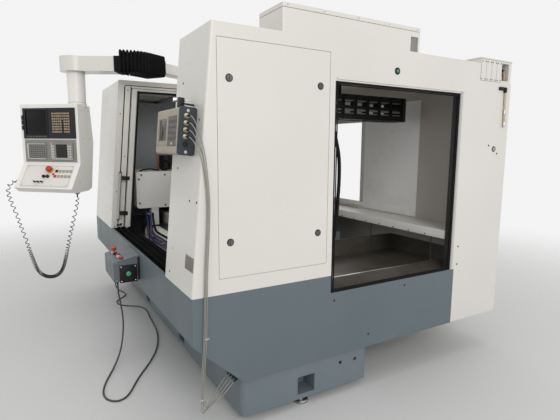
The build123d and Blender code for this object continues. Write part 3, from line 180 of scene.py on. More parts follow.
material("ring_grey", (0.045, 0.044, 0.042), 0.45, 0.2, 0.001, 0.2, 0.02, specular=0.3)
# Greyer white of the side opening's folded cheek: painted shade on the fold.
material("cheek_painted_shade", (0.5, 0.49, 0.465), 0.34, 0.03, 0.003, 0.06, 0.4)
material("clear_tube", (0.52, 0.46, 0.3), 0.18, 0.02, 0.004, 0.12, 0.05, coat=0.4)
material("tie_white", (0.62, 0.6, 0.56), 0.45, 0.1, 0.001, 0.08, 0.01)

SLOT_FINISH = {
    "inner_left_wall": "inner_wall_paint", "workhead": "black_plastic", "side_button": "dark_green",
    "pendant_housing": "pendant_paint",
}
latch_names = ["upper_front", "upper_rear", "lower_front", "lower_rear"]
SLOT_FINISH.update({"latch_" + name: "latch_steel" for name in latch_names})
for row in frame["record"]["subparts"]:
    node = frame["nodes"].get(row["node"])
    if node is None:
        continue
    chosen = SLOT_FINISH.get(row["node"], row["material_slot"])
    for place in node.material_slots:
        place.material = materials[chosen]
    if not node.material_slots:
        node.data.materials.append(materials[chosen])


# Mesh helpers.
def piece(name, finish, build, body="enclosure"):
    """A named piece whose build function fills one bmesh in frame metres, riding on a body."""
    bm = bmesh.new()
    build(bm)
    bmesh.ops.recalc_face_normals(bm, faces=bm.faces)
    mesh = bpy.data.meshes.new(name)
    bm.to_mesh(mesh)
    bm.free()
    mesh.materials.append(materials[finish])
    mesh.polygons.foreach_set("use_smooth", [True] * len(mesh.polygons))
    mesh.set_sharp_from_angle(angle=radians(35))
    made = put(name, mesh)
    if body:
        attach(made, body)
    return made


def basis(origin, normal, along=None):
    """Matrix whose z is the normal and whose x lies along a direction."""
    z = Vector(normal).normalized()
    x = Vector(along) if along else (Vector((0, 0, 1)) if abs(z.z) < 0.9 else Vector((1, 0, 0)))
    x = (x - z * x.dot(z)).normalized()
    y = z.cross(x)
    return Matrix.Translation(origin) @ Matrix((x, y, z)).transposed().to_4x4()


def shift(place, x, y, z):
    return place @ Matrix.Translation(mm(x, y, z))


def skin(bm, rings, closed=False):
    """Faces from ring to ring, and from the last to the first or else a cap at both ends."""
    for a, b in zip(rings, rings[1:] + (rings[:1] if closed else [])):
        for k in range(len(a)):
            n = (k + 1) % len(a)
            bm.faces.new((a[k], a[n], b[n], b[k]))
    if not closed:
        bm.faces.new(rings[0])
        bm.faces.new(rings[-1])


def circle(bm, place, radius, height, count, shape=lambda a: 1):
    """Points round the place's z axis, their radius scaled by a shape of the angle."""
    angles = [2 * pi * k / count for k in range(count)]
    return [bm.verts.new(place @ mm(radius * shape(a) * cos(a), radius * shape(a) * sin(a), height)) for a in angles]


def add_lathe(bm, place, profile, segments=24):
    """Rings of (radius, height) in mm about the place's z axis, closed at both ends."""
    skin(bm, [circle(bm, place, radius, height, segments) for radius, height in profile])


def add_block(bm, place, size, bevel=0.6):
    """Block of a size in mm centred on the place, with softened edges."""
    box = bmesh.ops.create_cube(bm, size=1.0)
    scale = Matrix.Diagonal([s / 1000 for s in size] + [1])
    bmesh.ops.transform(bm, matrix=place @ scale, verts=box["verts"])
    edges = list({e for v in box["verts"] for e in v.link_edges})
    bmesh.ops.bevel(bm, geom=edges, offset=bevel / 1000, segments=2, affect="EDGES", profile=0.6)


def add_sweep(bm, points, radius, segments=10, closed=False):
    """Round bar through points in frame metres."""
    count = len(points)
    side = None
    rings = []
    for i in range(count):
        before = points[i - 1] if closed or i > 0 else points[0]
        after = points[(i + 1) % count] if closed or i < count - 1 else points[-1]
        heading = (after - before).normalized()
        if side is None:
            side = heading.orthogonal().normalized()
        side = (side - heading * side.dot(heading)).normalized()
        other = heading.cross(side)
        rings.append([bm.verts.new(points[i] + (side * cos(2 * pi * k / segments) + other * sin(2 * pi * k / segments))
                                   * (radius / 1000)) for k in range(segments)])
    skin(bm, rings, closed)


def hexagon(a):
    """Radius of a hexagon's outline at an angle, as a share of its corner radius."""
    return cos(pi / 6) / cos((a % (pi / 3)) - pi / 6)


def add_screw(bm, point, normal, radius=5, tall=2.4):
    """Button-head screw with a hexagon socket."""
    place = basis(point, normal)
    head = [(1, -0.4), (1, tall * 0.35), (0.86, tall * 0.78), (0.62, tall)]
    rings = [circle(bm, place, radius * share, height, 18) for share, height in head]
    rings += [circle(bm, place, radius * 0.46, height, 18, hexagon) for height in (tall, tall * 0.3)]
    skin(bm, rings)


def add_ring(bm, place, inner, outer, low, high):
    """Flat collar with softened outer rims, in mm about the place's z axis."""
    soft = min(0.8, (high - low) * 0.3, (outer - inner) * 0.3)
    profile = [(inner, low), (outer - soft, low), (outer, low + soft), (outer, high - soft), (outer - soft, high),
               (inner, high)]
    skin(bm, [circle(bm, place, radius, height, 28) for radius, height in profile], closed=True)


def add_frame_strip(bm, place, width, height, band, thick):
    """Rectangular outline on the place's x-y plane."""
    for x, y, w, h in ((0, height / 2, width, band), (0, -height / 2, width, band),
                       (width / 2, 0, band, height - band), (-width / 2, 0, band, height - band)):
        add_block(bm, shift(place, x, y, thick / 2), (w, h, thick), 0.15)


# Pieces made of one kind of form. They ride on the enclosure unless a body is given.
here = Matrix.Translation(at(0, 0, 0))


def screws(name, places, normal, radius=5, finish="black_plastic", tall=2.4, body="enclosure"):
    piece(name, finish, lambda bm: [add_screw(bm, p, normal, radius, tall) for p in places], body)


def block_piece(name, finish, blocks, bevel=0.6, place=here, body="enclosure"):
    """Softened blocks given as middle and size in mm of a place."""
    piece(name, finish, lambda bm: [add_block(bm, shift(place, *b[:3]), b[3:], bevel) for b in blocks], body)


def lathe_piece(name, finish, places, profile, segments=24, body="enclosure"):
    piece(name, finish, lambda bm: [add_lathe(bm, p, profile, segments) for p in places], body)


def ring_piece(name, finish, places, inner, outer, low, high, body="enclosure"):
    piece(name, finish, lambda bm: [add_ring(bm, p, inner, outer, low, high) for p in places], body)


def bar_piece(name, finish, points, radius, segments=12, closed=False, body="enclosure"):
    piece(name, finish, lambda bm: add_sweep(bm, points, radius, segments, closed), body)


def rim_piece(name, finish, place, width, height, band, thick, body="enclosure"):
    piece(name, finish, lambda bm: add_frame_strip(bm, place, width, height, band, thick), body)


# Cords: each follows its own route's points.
def nurbs(name, points, diameter, finish, resolution=6, sides=4):
    data = bpy.data.curves.new(name, "CURVE")
    data.dimensions = "3D"
    spline = data.splines.new("NURBS")
    spline.points.add(len(points) - 1)
    for target, p in zip(spline.points, points):
        target.co = (*p, 1)
    spline.order_u = 3
    spline.use_endpoint_u = True
    data.resolution_u = resolution
    data.bevel_depth = diameter / 2
    data.bevel_resolution = sides
    data.use_fill_caps = True
    made = put(name, data)
    if finish:
        data.materials.append(materials[finish])
    return made


def line_of(points, resolution=12):
    """Points along the smooth line of a route, read from its own spline without a bevel."""
    temp = nurbs("route", points, 0.0, None, resolution)
    temp.data.use_fill_caps = False
    mesh = bpy.data.meshes.new_from_object(temp)
    line = [v.co.copy() for v in mesh.vertices]
    bpy.data.meshes.remove(mesh)
    bpy.data.objects.remove(temp)
    return line


def length_of(line):
    return sum((b - a).length for a, b in zip(line, line[1:]))


def in_metres(route, unit=10000):
    """A route whose points are given in tenths of a millimetre, or in another part of a metre."""
    return [(x / unit, y / unit, z / unit) for x, y, z in route]


# The gauge cables share one line down the column, each a little beside it, with an own start and end.
bundle = [
    (16304, -8026, 14520), (16314, -7966, 13800), (16324, -7941, 13060), (16324, -7956, 12320),
    (16334, -7996, 11580), (16334, -8046, 10840), (16324, -8091, 10100), (16324, -8126, 9360), (16334, -8154, 8620),
    (16334, -8176, 7880), (16324, -8194, 7140), (16324, -8216, 6400), (16314, -8251, 5660), (16304, -8301, 4920),
    (16294, -8356, 4180), (16284, -8401, 3440), (16274, -8421, 2840),
]
gauge_cables = [
    (0, 0, [
        (15350, -8614, 17526), (15570, -8614, 17526), (15841, -8561, 17393), (16038, -8457, 17063),
        (16171, -8328, 16571), (16252, -8196, 15958), (16293, -8088, 15262),
    ], [
        (16225, -8348, 2376), (16116, -8111, 2119), (15980, -7759, 2047), (15844, -7340, 2138), (15741, -6904, 2370),
        (15700, -6499, 2722), (15700, -6349, 2883),
    ]),
    (0, -84, [
        (15350, -8647, 17167), (15570, -8647, 17167), (15841, -8597, 17049), (16038, -8503, 16757),
        (16171, -8386, 16325), (16252, -8267, 15786), (16293, -8168, 15173),
    ], [
        (16177, -8457, 2103), (15950, -8273, 1704), (15660, -7969, 1606), (15370, -7561, 1769), (15149, -7066, 2154),
        (15060, -6499, 2722), (15060, -6349, 2883),
    ]),
    (-74, -42, [
        (15350, -8679, 16819), (15570, -8679, 16819), (15850, -8605, 16674), (16040, -8464, 16323),
        (16156, -8297, 15814), (16214, -8151, 15197),
    ], [
        (16132, -8402, 2239), (15979, -8192, 1912), (15783, -7864, 1827), (15588, -7451, 1954), (15439, -6985, 2262),
        (15380, -6499, 2722), (15380, -6349, 2883),
    ]),
    (-74, -126, [
        (15350, -8709, 16480), (15570, -8709, 16480), (15905, -8614, 16295), (16106, -8438, 15852),
        (16204, -8259, 15234),
    ], [
        (16085, -8511, 1966), (15813, -8354, 1497), (15463, -8074, 1386), (15114, -7671, 1585), (14847, -7147, 2046),
        (14740, -6499, 2722), (14740, -6349, 2883),
    ]),
]
for number, (aside_x, aside_y, start, end) in enumerate(gauge_cables, 1):
    route = in_metres(start + [(x + aside_x, y + aside_y, z) for x, y, z in bundle] + end)
    cable = nurbs(f"gauge_cable_line_{number}", route, 0.005, "cable_grey")
    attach(cable, "enclosure")
    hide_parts(f"gauge_cable_{number}")
    length_of(line_of(route))

floor_route = in_metres([
    (298, -1026, 594), (298, -1026, 548), (304, -1024, 490), (324, -1016, 420), (344, -1008, 340), (348, -1006, 255),
    (354, -1014, 172), (388, -1034, 96), (454, -1072, 42), (538, -1120, 14), (642, -1174, 6), (746, -1218, 6),
    (840, -1240, 6), (920, -1232, 6), (976, -1188, 6), (970, -1128, 6), (906, -1078, 6), (810, -1028, 6),
    (710, -968, 6), (612, -900, 6), (505, -834, 6), (390, -776, 6), (260, -728, 6), (120, -690, 6), (-30, -666, 6),
    (-190, -654, 6), (-350, -646, 6), (-480, -630, 6), (-586, -634, 6), (-668, -672, 6), (-720, -752, 6),
    (-790, -826, 6), (-890, -846, 6), (-980, -802, 6), (-1040, -732, 6), (-1120, -702, 6), (-1202, -716, 6),
    (-1270, -746, 10), (-1320, -766, 34), (-1346, -770, 78), (-1352, -750, 122), (-1350, -708, 146),
    (-1350, -666, 150), (-1350, -626, 150),
], 1000)
floor_cable = nurbs("floor_cable_line", floor_route, 0.012, "cable_black")
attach(floor_cable, "enclosure")
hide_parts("floor_cable")
length_of(line_of(floor_route))

curly_route = in_metres([
    (-7860, -16317, 12810), (-8038, -16507, 12810), (-8217, -16699, 12768), (-8378, -16872, 12648),
    (-8507, -17010, 12460), (-8589, -17098, 12223), (-8617, -17129, 11960), (-8570, -17080, 11520),
    (-8400, -16890, 10800), (-8140, -16600, 9900), (-7940, -16340, 8800), (-7760, -16040, 7700),
    (-7620, -15820, 6700), (-7480, -15600, 5850), (-7379, -15387, 5025), (-7198, -15086, 4504),
    (-6912, -14610, 4209), (-6588, -14070, 4209), (-6302, -13594, 4504), (-6121, -13293, 5025),
    (-6000, -13060, 5900), (-5890, -12880, 6800), (-5760, -12640, 7900), (-5590, -12380, 9000),
    (-5320, -12140, 10100), (-4972, -11900, 11120), (-4972, -11900, 11820),
])


def helix(route, radius, loose, tight, bottom):
    """Turns round a route: wide apart at its two ends and close together in the hanging bottom."""
    turn_steps, lead, ramp = 13, 0.016, 0.03
    line = line_of(route)
    total = length_of(line)
    lengths = [0.0]
    for a, b in zip(line, line[1:]):
        lengths.append(lengths[-1] + (b - a).length)
    points = [line[0].copy()]
    angle = 0.0
    s = lead
    index = 0
    side = (line[1] - line[0]).orthogonal().normalized()
    while s < total - lead:
        while lengths[index + 1] < s:
            index += 1
        heading = (line[index + 1] - line[index]).normalized()
        share = (s - lengths[index]) / (lengths[index + 1] - lengths[index])
        centre = line[index].lerp(line[index + 1], share)
        side = (side - heading * side.dot(heading)).normalized()
        other = heading.cross(side)
        ease = min(1.0, (s - lead) / ramp, (total - lead - s) / ramp)
        wobble = 1 + 0.1 * sin(9 * s) * (1 if s < 0.9 else 0.4)
        points.append(centre + (side * cos(angle) + other * sin(angle)) * radius * max(0.12, ease) * wobble)
        close = max(0.0, 1 - abs((s / total - bottom[0]) / bottom[1]) ** 3)
        pitch = (loose + (tight - loose) * close) * (1 + 0.16 * sin(23 * s))
        angle += 2 * pi / turn_steps
        s += pitch / turn_steps
    points.append(line[-1].copy())
    return points


curl_points = helix(curly_route, 0.0135, 0.05, 0.0095, (0.56, 0.24))
curl = nurbs("curly_cord_line", curl_points, 0.0065, "curl_black", resolution=2, sides=2)
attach(curl, "pendant")
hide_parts("curly_cord")
length_of(line_of(curl_points, 2))

# Places on the leaning front, the right side, the gauge unit, the pendant and its desk.
white_bottom = 818
lean_depth = 126
lean_rise = 1389
lean = atan2(lean_depth, lean_rise)
front_out = Vector((0, -cos(lean), sin(lean)))
right_out = Vector((1, 0, 0))


def leaf_point(x, z, offset):
    """Point in a plane behind the leaning front, offset along y."""
    return at(x, lean_depth * (z - white_bottom) / lean_rise + offset, z)


def front(x, z):
    """Point on the leaning front plane."""
    return leaf_point(x, z, 0)


def on_side(y, z, x=0):
    """Place on the right side, facing out."""
    return basis(at(x, y, z), right_out)


def facing(place, x, y, z, normal, along=None):
    """Place at a local point whose z axis is a local direction."""
    turn_only = place.to_3x3()
    return basis(place @ mm(x, y, z), turn_only @ Vector(normal), turn_only @ Vector(along) if along else None)


gauge_place = Matrix.Translation(front(0, 1671)) @ Matrix.Rotation(-lean, 4, "X")
pendant_place = Matrix.Translation(at(-2244, -474, 1786)) @ Matrix.Rotation(radians(47), 4, "Z")
desk_place = pendant_place @ basis(Vector((0, -0.065, -0.4485)), (0, -207, 130), (1, 0, 0))
pendant_right = pendant_place.to_3x3() @ right_out
gauge_blocks = partial(block_piece, place=gauge_place)
pendant_blocks = partial(block_piece, place=pendant_place, body="pendant")
desk_blocks = partial(block_piece, place=desk_place, body="pendant")


# Right column: socket screws, plain plate, rims and slots of the latches.
column_dots = [(-362, 1947), (-67, 1733), (-366, 1476), (-132, 1314), (-25, 1316), (-399, 871)]
screws("column_screws", [front(x, z) for x, z in column_dots], front_out, 6)
screws("column_plug", [front(-368, 1014)], front_out, 6, "steel")
plate_place = basis(front(-73, 991), front_out, (1, 0, 0))
block_piece("column_plate", "plate_grey", [(0, 0, 0.8, 126, 76, 1.8)], 0.5, place=plate_place)
rim_piece("column_plate_rim", "panel_grey", shift(plate_place, 0, 0, 1.6), 118, 68, 2.2, 0.6)
screws(
    "column_plate_rivets", [plate_place @ mm(x, y, 1.7) for x in (-55, 55) for y in (-30, 30)], front_out, 2.6,
    "steel", 1.4)
latch_spots = [(219, 1942), (783, 1942), (219, 1097), (783, 1097)]
ring_piece("latch_rims", "ring_grey", [on_side(y, z) for y, z in latch_spots], 15.6, 20.5, -0.4, 2.6)
for name, (y, z) in zip(latch_names, latch_spots):
    block_piece(
        name + "_latch_slot", "ring_grey", [(2, -1, 0.6, 20, 5, 2.2), (7, 5, 0.6, 6, 11, 2.2)], 0.5,
        place=on_side(y, z, 3), body=name + "_latch")

# Fixings of skirt, bed and rear side panel, lock and side button.
side_dots = [(918, 655), (1524, 660), (1210, 373)]
screws("skirt_screws", [at(0, y, z) for y, z in side_dots], right_out, 7)
screws("bed_plugs", [at(-21, 996, 217), at(-21, 1117, 214)], right_out, 11, tall=4)
panel_dots = [(2341, 1621), (2447, 1561), (2064, 874), (2063, 739)]
screws("side_panel_screws", [at(0, y, z) for y, z in panel_dots], right_out, 7)
ring_piece("lock_rose", "ring_grey", [on_side(2404, 1595)], 14.6, 21, -0.4, 3.4)
ring_piece("side_button_bezel", "black_plastic", [on_side(1371, 2077)], 13.6, 22, -0.4, 3.2)
lathe_piece(
    "side_button_lens", "green_plastic", [on_side(1371, 2077, 5)], [(8.6, -0.8), (8.6, 0.5), (7.4, 1.3), (3, 1.7)],
    body="side_push")

# Side opening: folded cheek beside the seal, its greyer white being painted shade on the fold, and the bead round it.
cheek_outline = [(1990, 0), (1990, 4), (1994, 5), (2014, 1.4), (2017, 0)]
# The cheek's greyer colour is painted shade, not a different paint.
piece(
    "opening_cheek", "cheek_painted_shade",
    lambda bm: skin(bm, [[bm.verts.new(at(x, y, z)) for y, x in cheek_outline] for z in (709, 1990)]))
bead_line = []
for y, z, sy, sz in ((895, 712, 1, 1), (1982, 712, -1, 1), (1982, 1975, -1, -1), (895, 1975, 1, -1)):
    for k in range(4):
        a = pi / 2 * k / 3
        u, v = (sin(a), cos(a)) if sy * sz > 0 else (cos(a), sin(a))
        bead_line.append(at(-3, y + sy * 14 * (1 - u), z + sz * 14 * (1 - v)))
bar_piece("seal_bead", "seal_rubber", bead_line, 4, 10, closed=True)

# Rear top corner: fixings of the blanking plates, connectors in the recess, elbow and sight tube.
screws(
    "blank_plate_screws", [at(0, 2224 + 60 * i + s, z) for i in range(4) for s in (-18, 18) for z in (2100, 2222)],
    right_out, 4.5)


def connectors(bm):
    for row, z in enumerate((2118, 2152, 2186)):
        for column in range(2):
            p = on_side(2464 + 42 * column, z, -90)
            add_lathe(bm, p, [(15, -0.5), (15, 8), (12, 12), (12, 26 + 8 * row), (8, 30 + 8 * row), (5, 46 + 8 * row)])


piece("recess_connectors", "black_plastic", connectors)
piece("recess_lines", "brass", lambda bm: [add_sweep(bm, [
    at(-48 + 8 * r, 2464 + 42 * c, 2118 + 34 * r), at(-30, 2470 + 36 * c, 2110 + 30 * r),
    at(-26, 2476 + 30 * c, 2096 + 10 * r)], 4) for r in range(3) for c in range(2)])
block_piece("drain_elbow", "black_plastic", [(5, 2458, 2044, 14, 88, 24), (8, 2484, 2034, 18, 22, 40)], 3)
bar_piece(
    "sight_tube", "clear_tube", [at(9, y, z) for y, z in ((2484, 2018), (2486, 1960), (2490, 1890), (2493, 1800))], 9,
    14)
lathe_piece(
    "sight_tube_ends", "steel", [basis(at(9, 2490, 1870), (0, 0, 1)), basis(at(9, 2493, 1782), (0, 0, 1))],
    [(5, -20), (11, -16), (11, 14), (9.4, 18)])

# Roof hood: grey back of its cable slot.
block_piece("hood_slot_back", "panel_grey", [(-7.6, 1509, 2254, 0.8, 64, 88)], 0.2)
screws("hood_screws", [at(0, y, 2346) for y in (560, 800, 1045, 1290, 1530)], right_out, 4, "steel")

# Inside: sheet on the rear wall, ledge cover, posts, tray edges with a bright strip painted as the ridge's highlight,
# chain bars, a jamb plate painted dark as shade, and hose.
block_piece(
    "rear_sheet", "wall_sheet", [(-972, 2278.4, 1500, 702, 1.6, 1010), (-1861, 2278.4, 1018, 1074, 1.6, 62)], 0.3)
block_piece(
    "ledge_cover", "inner_paint", [(-1231, 2139, 986.2, 2334, 281, 2), (-1231, 1998.8, 955, 2334, 2, 63)], 0.5)
screws("ledge_screws", [at(-777 + 172 * k, 1997.8, 933) for k in range(-6, 4)], (0, -1, 0), 6)
block_piece("ledge_posts", "tray_paint", [(-212, 2016, 822, 7, 7, 200), (-896, 2016, 822, 9, 9, 200)], 1)
# Bright strip along the tray's ridge: painted highlight where the ridge catches the light.
block_piece("tray_ridge_highlight", "bright_steel", [(-207.5, 1594, 727.4, 17, 1360, 1.6)], 0.6)
block_piece("tray_folds", "steel", [(-62, 1594, 697, 4, 1360, 3)], 0.6)
block_piece(
    "chain_bars", "panel_grey",
    [(-636, 2050 - 123 * (i + 0.5), z, 34, 93, h) for i in range(6) for z, h in ((1862, 7), (1887, 12), (1957, 6))],
    1)
# Near-black plate on the opening's jamb: painted shade where the jamb faces away from the light.
block_piece("opening_jamb_shade", "ring_grey", [(-45, 1987, 1344, 32, 1.6, 1262)], 0.3)
hose_spots = [(925, 1720), (950, 1640), (976, 1540), (980, 1400), (972, 1270), (964, 1120), (940, 1000), (915, 930)]
bar_piece("opening_hose", "seal_rubber", line_of([at(-60, y, z) for y, z in hose_spots], 5), 11)


# Front opening: handle brackets, door catch, black strips in the gaps between the leaves painted as the shade in those
# gaps, and their fixings.
def brackets(bm):
    for z in (962, 1296):
        add_block(bm, basis(leaf_point(-2260, z, 99), front_out, (1, 0, 0)), (30, 36, 74), 2)


piece("handle_brackets", "black_plastic", brackets, body="leading_door")


def handle_caps(bm):
    low = leaf_point(-2272, 900, 54)
    high = leaf_point(-2272, 1348, 54)
    add_lathe(bm, basis(low, high - low), [(9, -6), (13.4, -3), (13.4, 5), (9, 6)])
    add_lathe(bm, basis(high, high - low), [(9, -6), (13.4, -5), (13.4, 3), (9, 6)])


piece("handle_caps", "black_plastic", handle_caps, body="leading_door")
block_piece(
    "door_catch", "black_plastic", [(4, 0, 3, 46, 14, 9), (20, 4, 6, 16, 22, 7)], 1.5,
    place=basis(leaf_point(-2291, 846, 66), right_out, (0, 1, 0)), body="trailing_door")
screws("leaf_screws", [leaf_point(-2295, z, 88) for z in (2115, 1500, 905)], right_out, 5, body="trailing_door")
screws("cover_end_screws", [leaf_point(-2300, z, 31) for z in (1897, 1168, 832)], right_out, 5)
screws("cover_front_screws", [front(-2351, 1456), front(-2351, 1000), front(-2351, 1900)], front_out, 5, "steel")


def leaf_strip(name, body, x, offset, wide, thick, low=823, high=2150):
    """Black strip up a leaf's open edge: in the gaps between leaves it paints the gap dark as shade, on the leading
    leaf it is a rubber lip.
    """
    place = basis(leaf_point(x, (low + high) / 2, offset), front_out, (1, 0, 0))
    block_piece(name, "seal_rubber", [(0, 0, 0, thick, (high - low) / cos(lean), wide)], 0.4, place=place, body=body)


# Black strips in the gaps between cover and leaves and along their roof edge: painted shade in the gaps.
leaf_strip("cover_gap_shade_strip", "enclosure", -2300.5, 59.2, 8.4, 4)
leaf_strip("leaf_gap_shade_strip", "trailing_door", -2295.5, 116.2, 8.4, 4)
block_piece("cover_roof_gap_shade", "seal_rubber", [(-2300.5, 430, 2160.4, 2, 496, 7)], 0.4)
block_piece("leaf_roof_gap_shade", "seal_rubber", [(-2295.5, 459, 2133.4, 2, 440, 7.4)], 0.4, body="trailing_door")
leaf_strip("leaf_inner_lip", "leading_door", -2252, 173, 17, 5, 850, 2110)

# Workhead: cover fixings, bar, hose ring, hose over the cover, cover seam.
cover_dots = [(301, 1318), (531, 1316), (276, 1275), (278, 1040), (531, 1012), (760, 1316), (960, 1275), (960, 1040),
              (760, 1012)]
screws("workhead_screws", [at(-2300, y, z) for y, z in cover_dots], right_out, 9, body="table")
block_piece("workhead_bar", "copper_brown", [(-2420, 500, 1432, 14, 22, 164)], 2, body="table")
bar_piece(
    "workhead_hose_ring", "seal_rubber",
    [at(-2400, 560 + 46 * cos(2 * pi * k / 28), 1405 + 46 * sin(2 * pi * k / 28)) for k in range(28)], 9, closed=True,
    body="table")
bar_piece(
    "workhead_pipe", "seal_rubber",
    [at(-2350, 296, 1352), at(-2354, 330, 1366), at(-2364, 372, 1372), at(-2374, 420, 1371), at(-2384, 462, 1364),
     at(-2392, 500, 1356)], 7, body="table")
block_piece("workhead_seam", "inner_paint", [(-2299.4, 850, 1170, 1.6, 3, 330)], 0.4, body="table")

# Channel in front of the table: pale guard sheet, bright rail, clipped hoses and lines.
guard_outline = [(288, 700), (288, 716), (300, 722), (396, 808), (440, 809), (440, 802), (398, 800),
                 (304, 708), (296, 700)]
piece(
    "guard_sheet", "inner_paint",
    lambda bm: skin(bm, [[bm.verts.new(at(x, y, z)) for y, z in guard_outline] for x in (-2250, -560)]))
block_piece("guard_brackets", "steel", [(x, 300, 652, 30, 5, 104) for x in (-2200, -1600, -1000, -640)], 1)
block_piece("channel_rail", "bright_steel", [(-1410, 276, 708, 1700, 12, 16)], 1.5)


def clipped(y, z, rise_x, top):
    """Line that rises beside the workhead and then runs along the channel."""
    steps = ((8, 4, 90), (34, 2, 40), (84, 0, 12), (150, -2, 2), (260, 0, 0), (480, 6, 2), (760, 2, 0))
    return ([at(rise_x, y, top), at(rise_x + 2, y + 2, top - 70)]
            + [at(rise_x + dx, y + dy, z + dz) for dx, dy, dz in steps] + [at(-1100, y + 4, z + 2), at(-640, y, z)])


for name, finish, radius, lines in (
        ("blue_hoses", "hose_blue", 9, [(322, 748, -2210, 965), (344, 768, -2186, 972), (302, 738, -2060, 748)]),
        ("brown_lines", "copper_brown", 6, [(312, 742, -2240, 800), (332, 756, -2150, 790)]),
        ("pale_lines", "cable_grey", 5, [(296, 733, -2200, 770)]),
        ("dark_hoses", "seal_rubber", 10, [(366, 792, -2170, 960)])):
    piece(
        name, finish, lambda bm, r=radius, ls=lines: [add_sweep(bm, line_of(clipped(*one), 5), r, 12) for one in ls])
block_piece(
    "hose_clips", "steel", [(x, 322, 772, 16, 74, 3) for x in (-1950, -1600, -1250, -900)]
    + [(-2200, 344, 948, 66, 50, 8)], 1)

# Wheel and tailstock: bolts, hub nut, quill lever.
screws(
    "wheel_flange_bolts",
    [at(-1912, 1240 + 66 * cos(radians(60 * k)), 1180 + 66 * sin(radians(60 * k))) for k in range(6)], (-1, 0, 0), 7,
    "steel", 4, body="wheel")
lathe_piece(
    "wheel_hub_nut", "steel", [basis(at(-1912, 1240, 1180), (-1, 0, 0))], [(34, -0.5), (34, 8), (26, 12), (12, 13)],
    6, body="wheel")
screws("guard_bolts", [at(-1940, 1420 + 50 * k, 1160) for k in range(-1, 4)], (-1, 0, 0), 7, body="wheel_carriage")
screws("tailstock_bolts", [at(x, 632, 992) for x in (-1620, -1380)], (0, -1, 0), 8, body="table")
lathe_piece(
    "quill_lever_hub", "black_plastic", [basis(at(-1500, 655, 1200), (0, -1, 0))],
    [(26, -1), (26, 10), (20, 16), (10, 17)], body="table")
bar_piece("quill_lever", "steel", [at(-1500, 645, 1200), at(-1494, 635, 1240), at(-1484, 628, 1296)], 6, body="table")
lathe_piece(
    "quill_lever_knob", "black_plastic", [basis(at(-1484, 628, 1296), (0.12, -0.1, 1))],
    [(7, -4), (13, 6), (14, 16), (10, 25), (4, 28)], body="table")

# Gauge unit.
gauge_blocks("gauge_window", "display_dark", [(-400, -86.6, 7, 138, 1.6, 112)], 0.4)
rim_piece(
    "gauge_window_rim", "gauge_plastic", facing(gauge_place, -400, -90.2, 7, (0, -1, 0), (1, 0, 0)), 154, 128, 5, 1.4)
gauge_blocks("gauge_seams", "gauge_dark", [(-305, -85.4, z, 398, 1, 1.8) for z in (83, -89)], 0.3)
gauge_blocks("gauge_keypad", "gauge_dark", [(-224, -87.4, -1, 154, 1.4, 156)], 0.4)
gauge_blocks(
    "gauge_keys", "module_dark", [(-280 + 28 * c, -89, 52 - 30 * r, 16, 3.4, 14) for r in range(4) for c in range(5)],
    0.8)
gauge_blocks("gauge_key_white", "module_pale", [(-226, -89, -66, 20, 3.6, 12)], 0.8)
plug_places = [facing(gauge_place, -105, -54, z, (1, 0, 0)) for z in (77, 41, 6, -28)]
ring_piece("gauge_connector_nuts", "brass", plug_places, 7.05, 11.6, -0.5, 13)
ring_piece("gauge_connector_collars", "bright_steel", plug_places, 6.9, 13.5, -0.4, 2.6)
ring_piece("gauge_plugs", "bright_steel", plug_places, 6.95, 8.4, 12.8, 27)
lathe_piece(
    "gauge_boots", "black_plastic", plug_places, [(7.4, 26.5), (7.4, 31), (5.6, 35), (4.2, 44), (3.3, 53)], 20)
socket_place = facing(gauge_place, -105, -54, -66, (1, 0, 0))
ring_piece("gauge_socket", "black_plastic", [socket_place], 6.9, 12.4, -0.4, 7.4)
screws("gauge_end_screws", [gauge_place @ mm(-105, -48, z) for z in (104, -106)], right_out, 8, "module_pale", 2.6)
gauge_blocks("gauge_strap", "black_plastic", [(-170, -69, 146, 28, 31, 51), (-170, -30, 142, 26, 60, 8)], 2.5)
gauge_blocks(
    "gauge_strap_lever", "bright_steel",
    [(-216, -72, 163, 70, 16, 7), (-252, -72, 166, 14, 26, 20), (-122, -62, 150, 66, 5, 4)], 1.6)

# Cable ties and glands.
tie_spots = [(1.6297, -0.821, 0.6), (1.624, -0.849, 0.262)]


def ties(bm):
    for x, y, z in tie_spots:
        loop = [Vector((x, y, z)) + Vector((0.0095 * cos(2 * pi * k / 16), 0.0125 * sin(2 * pi * k / 16), 0))
                for k in range(16)]
        add_sweep(bm, loop, 1.6, 8, True)
        add_block(bm, Matrix.Translation(Vector((x + 0.009, y - 0.006, z))), (5, 5, 6), 0.6)


piece("cable_ties", "tie_white", ties)
slope_top, slope_rise, slope_depth, gland_y = 556, 270, 292, 272
gland_slope = atan2(slope_rise, slope_depth)
gland_out = Vector((0, -sin(gland_slope), -cos(gland_slope)))
gland_roots = [at(x, gland_y, slope_top - gland_y * slope_rise / slope_depth) for x in (-136, -104, -72, -40)]
lathe_piece(
    "skirt_glands", "black_plastic", [basis(p, gland_out) for p in gland_roots],
    [(12.5, -1), (12.5, 5), (10.4, 6), (10.4, 17), (8.6, 21), (6.2, 24), (3.4, 34)])
lathe_piece(
    "floor_gland", "black_plastic", [basis(at(-2960, 292, 150), (0, -1, 0))],
    [(21, -1), (21, 6), (16.6, 8), (16.6, 22), (13, 28), (9, 40), (6.5, 52)])

# Control box.
box_rise, box_depth, box_height = 39, 185, 806
box_slope = atan2(box_rise, box_depth)
box_up = Vector((0, -sin(box_slope), cos(box_slope)))


def box_top(x, y):
    return at(x, y, box_height + box_rise / box_depth * y)


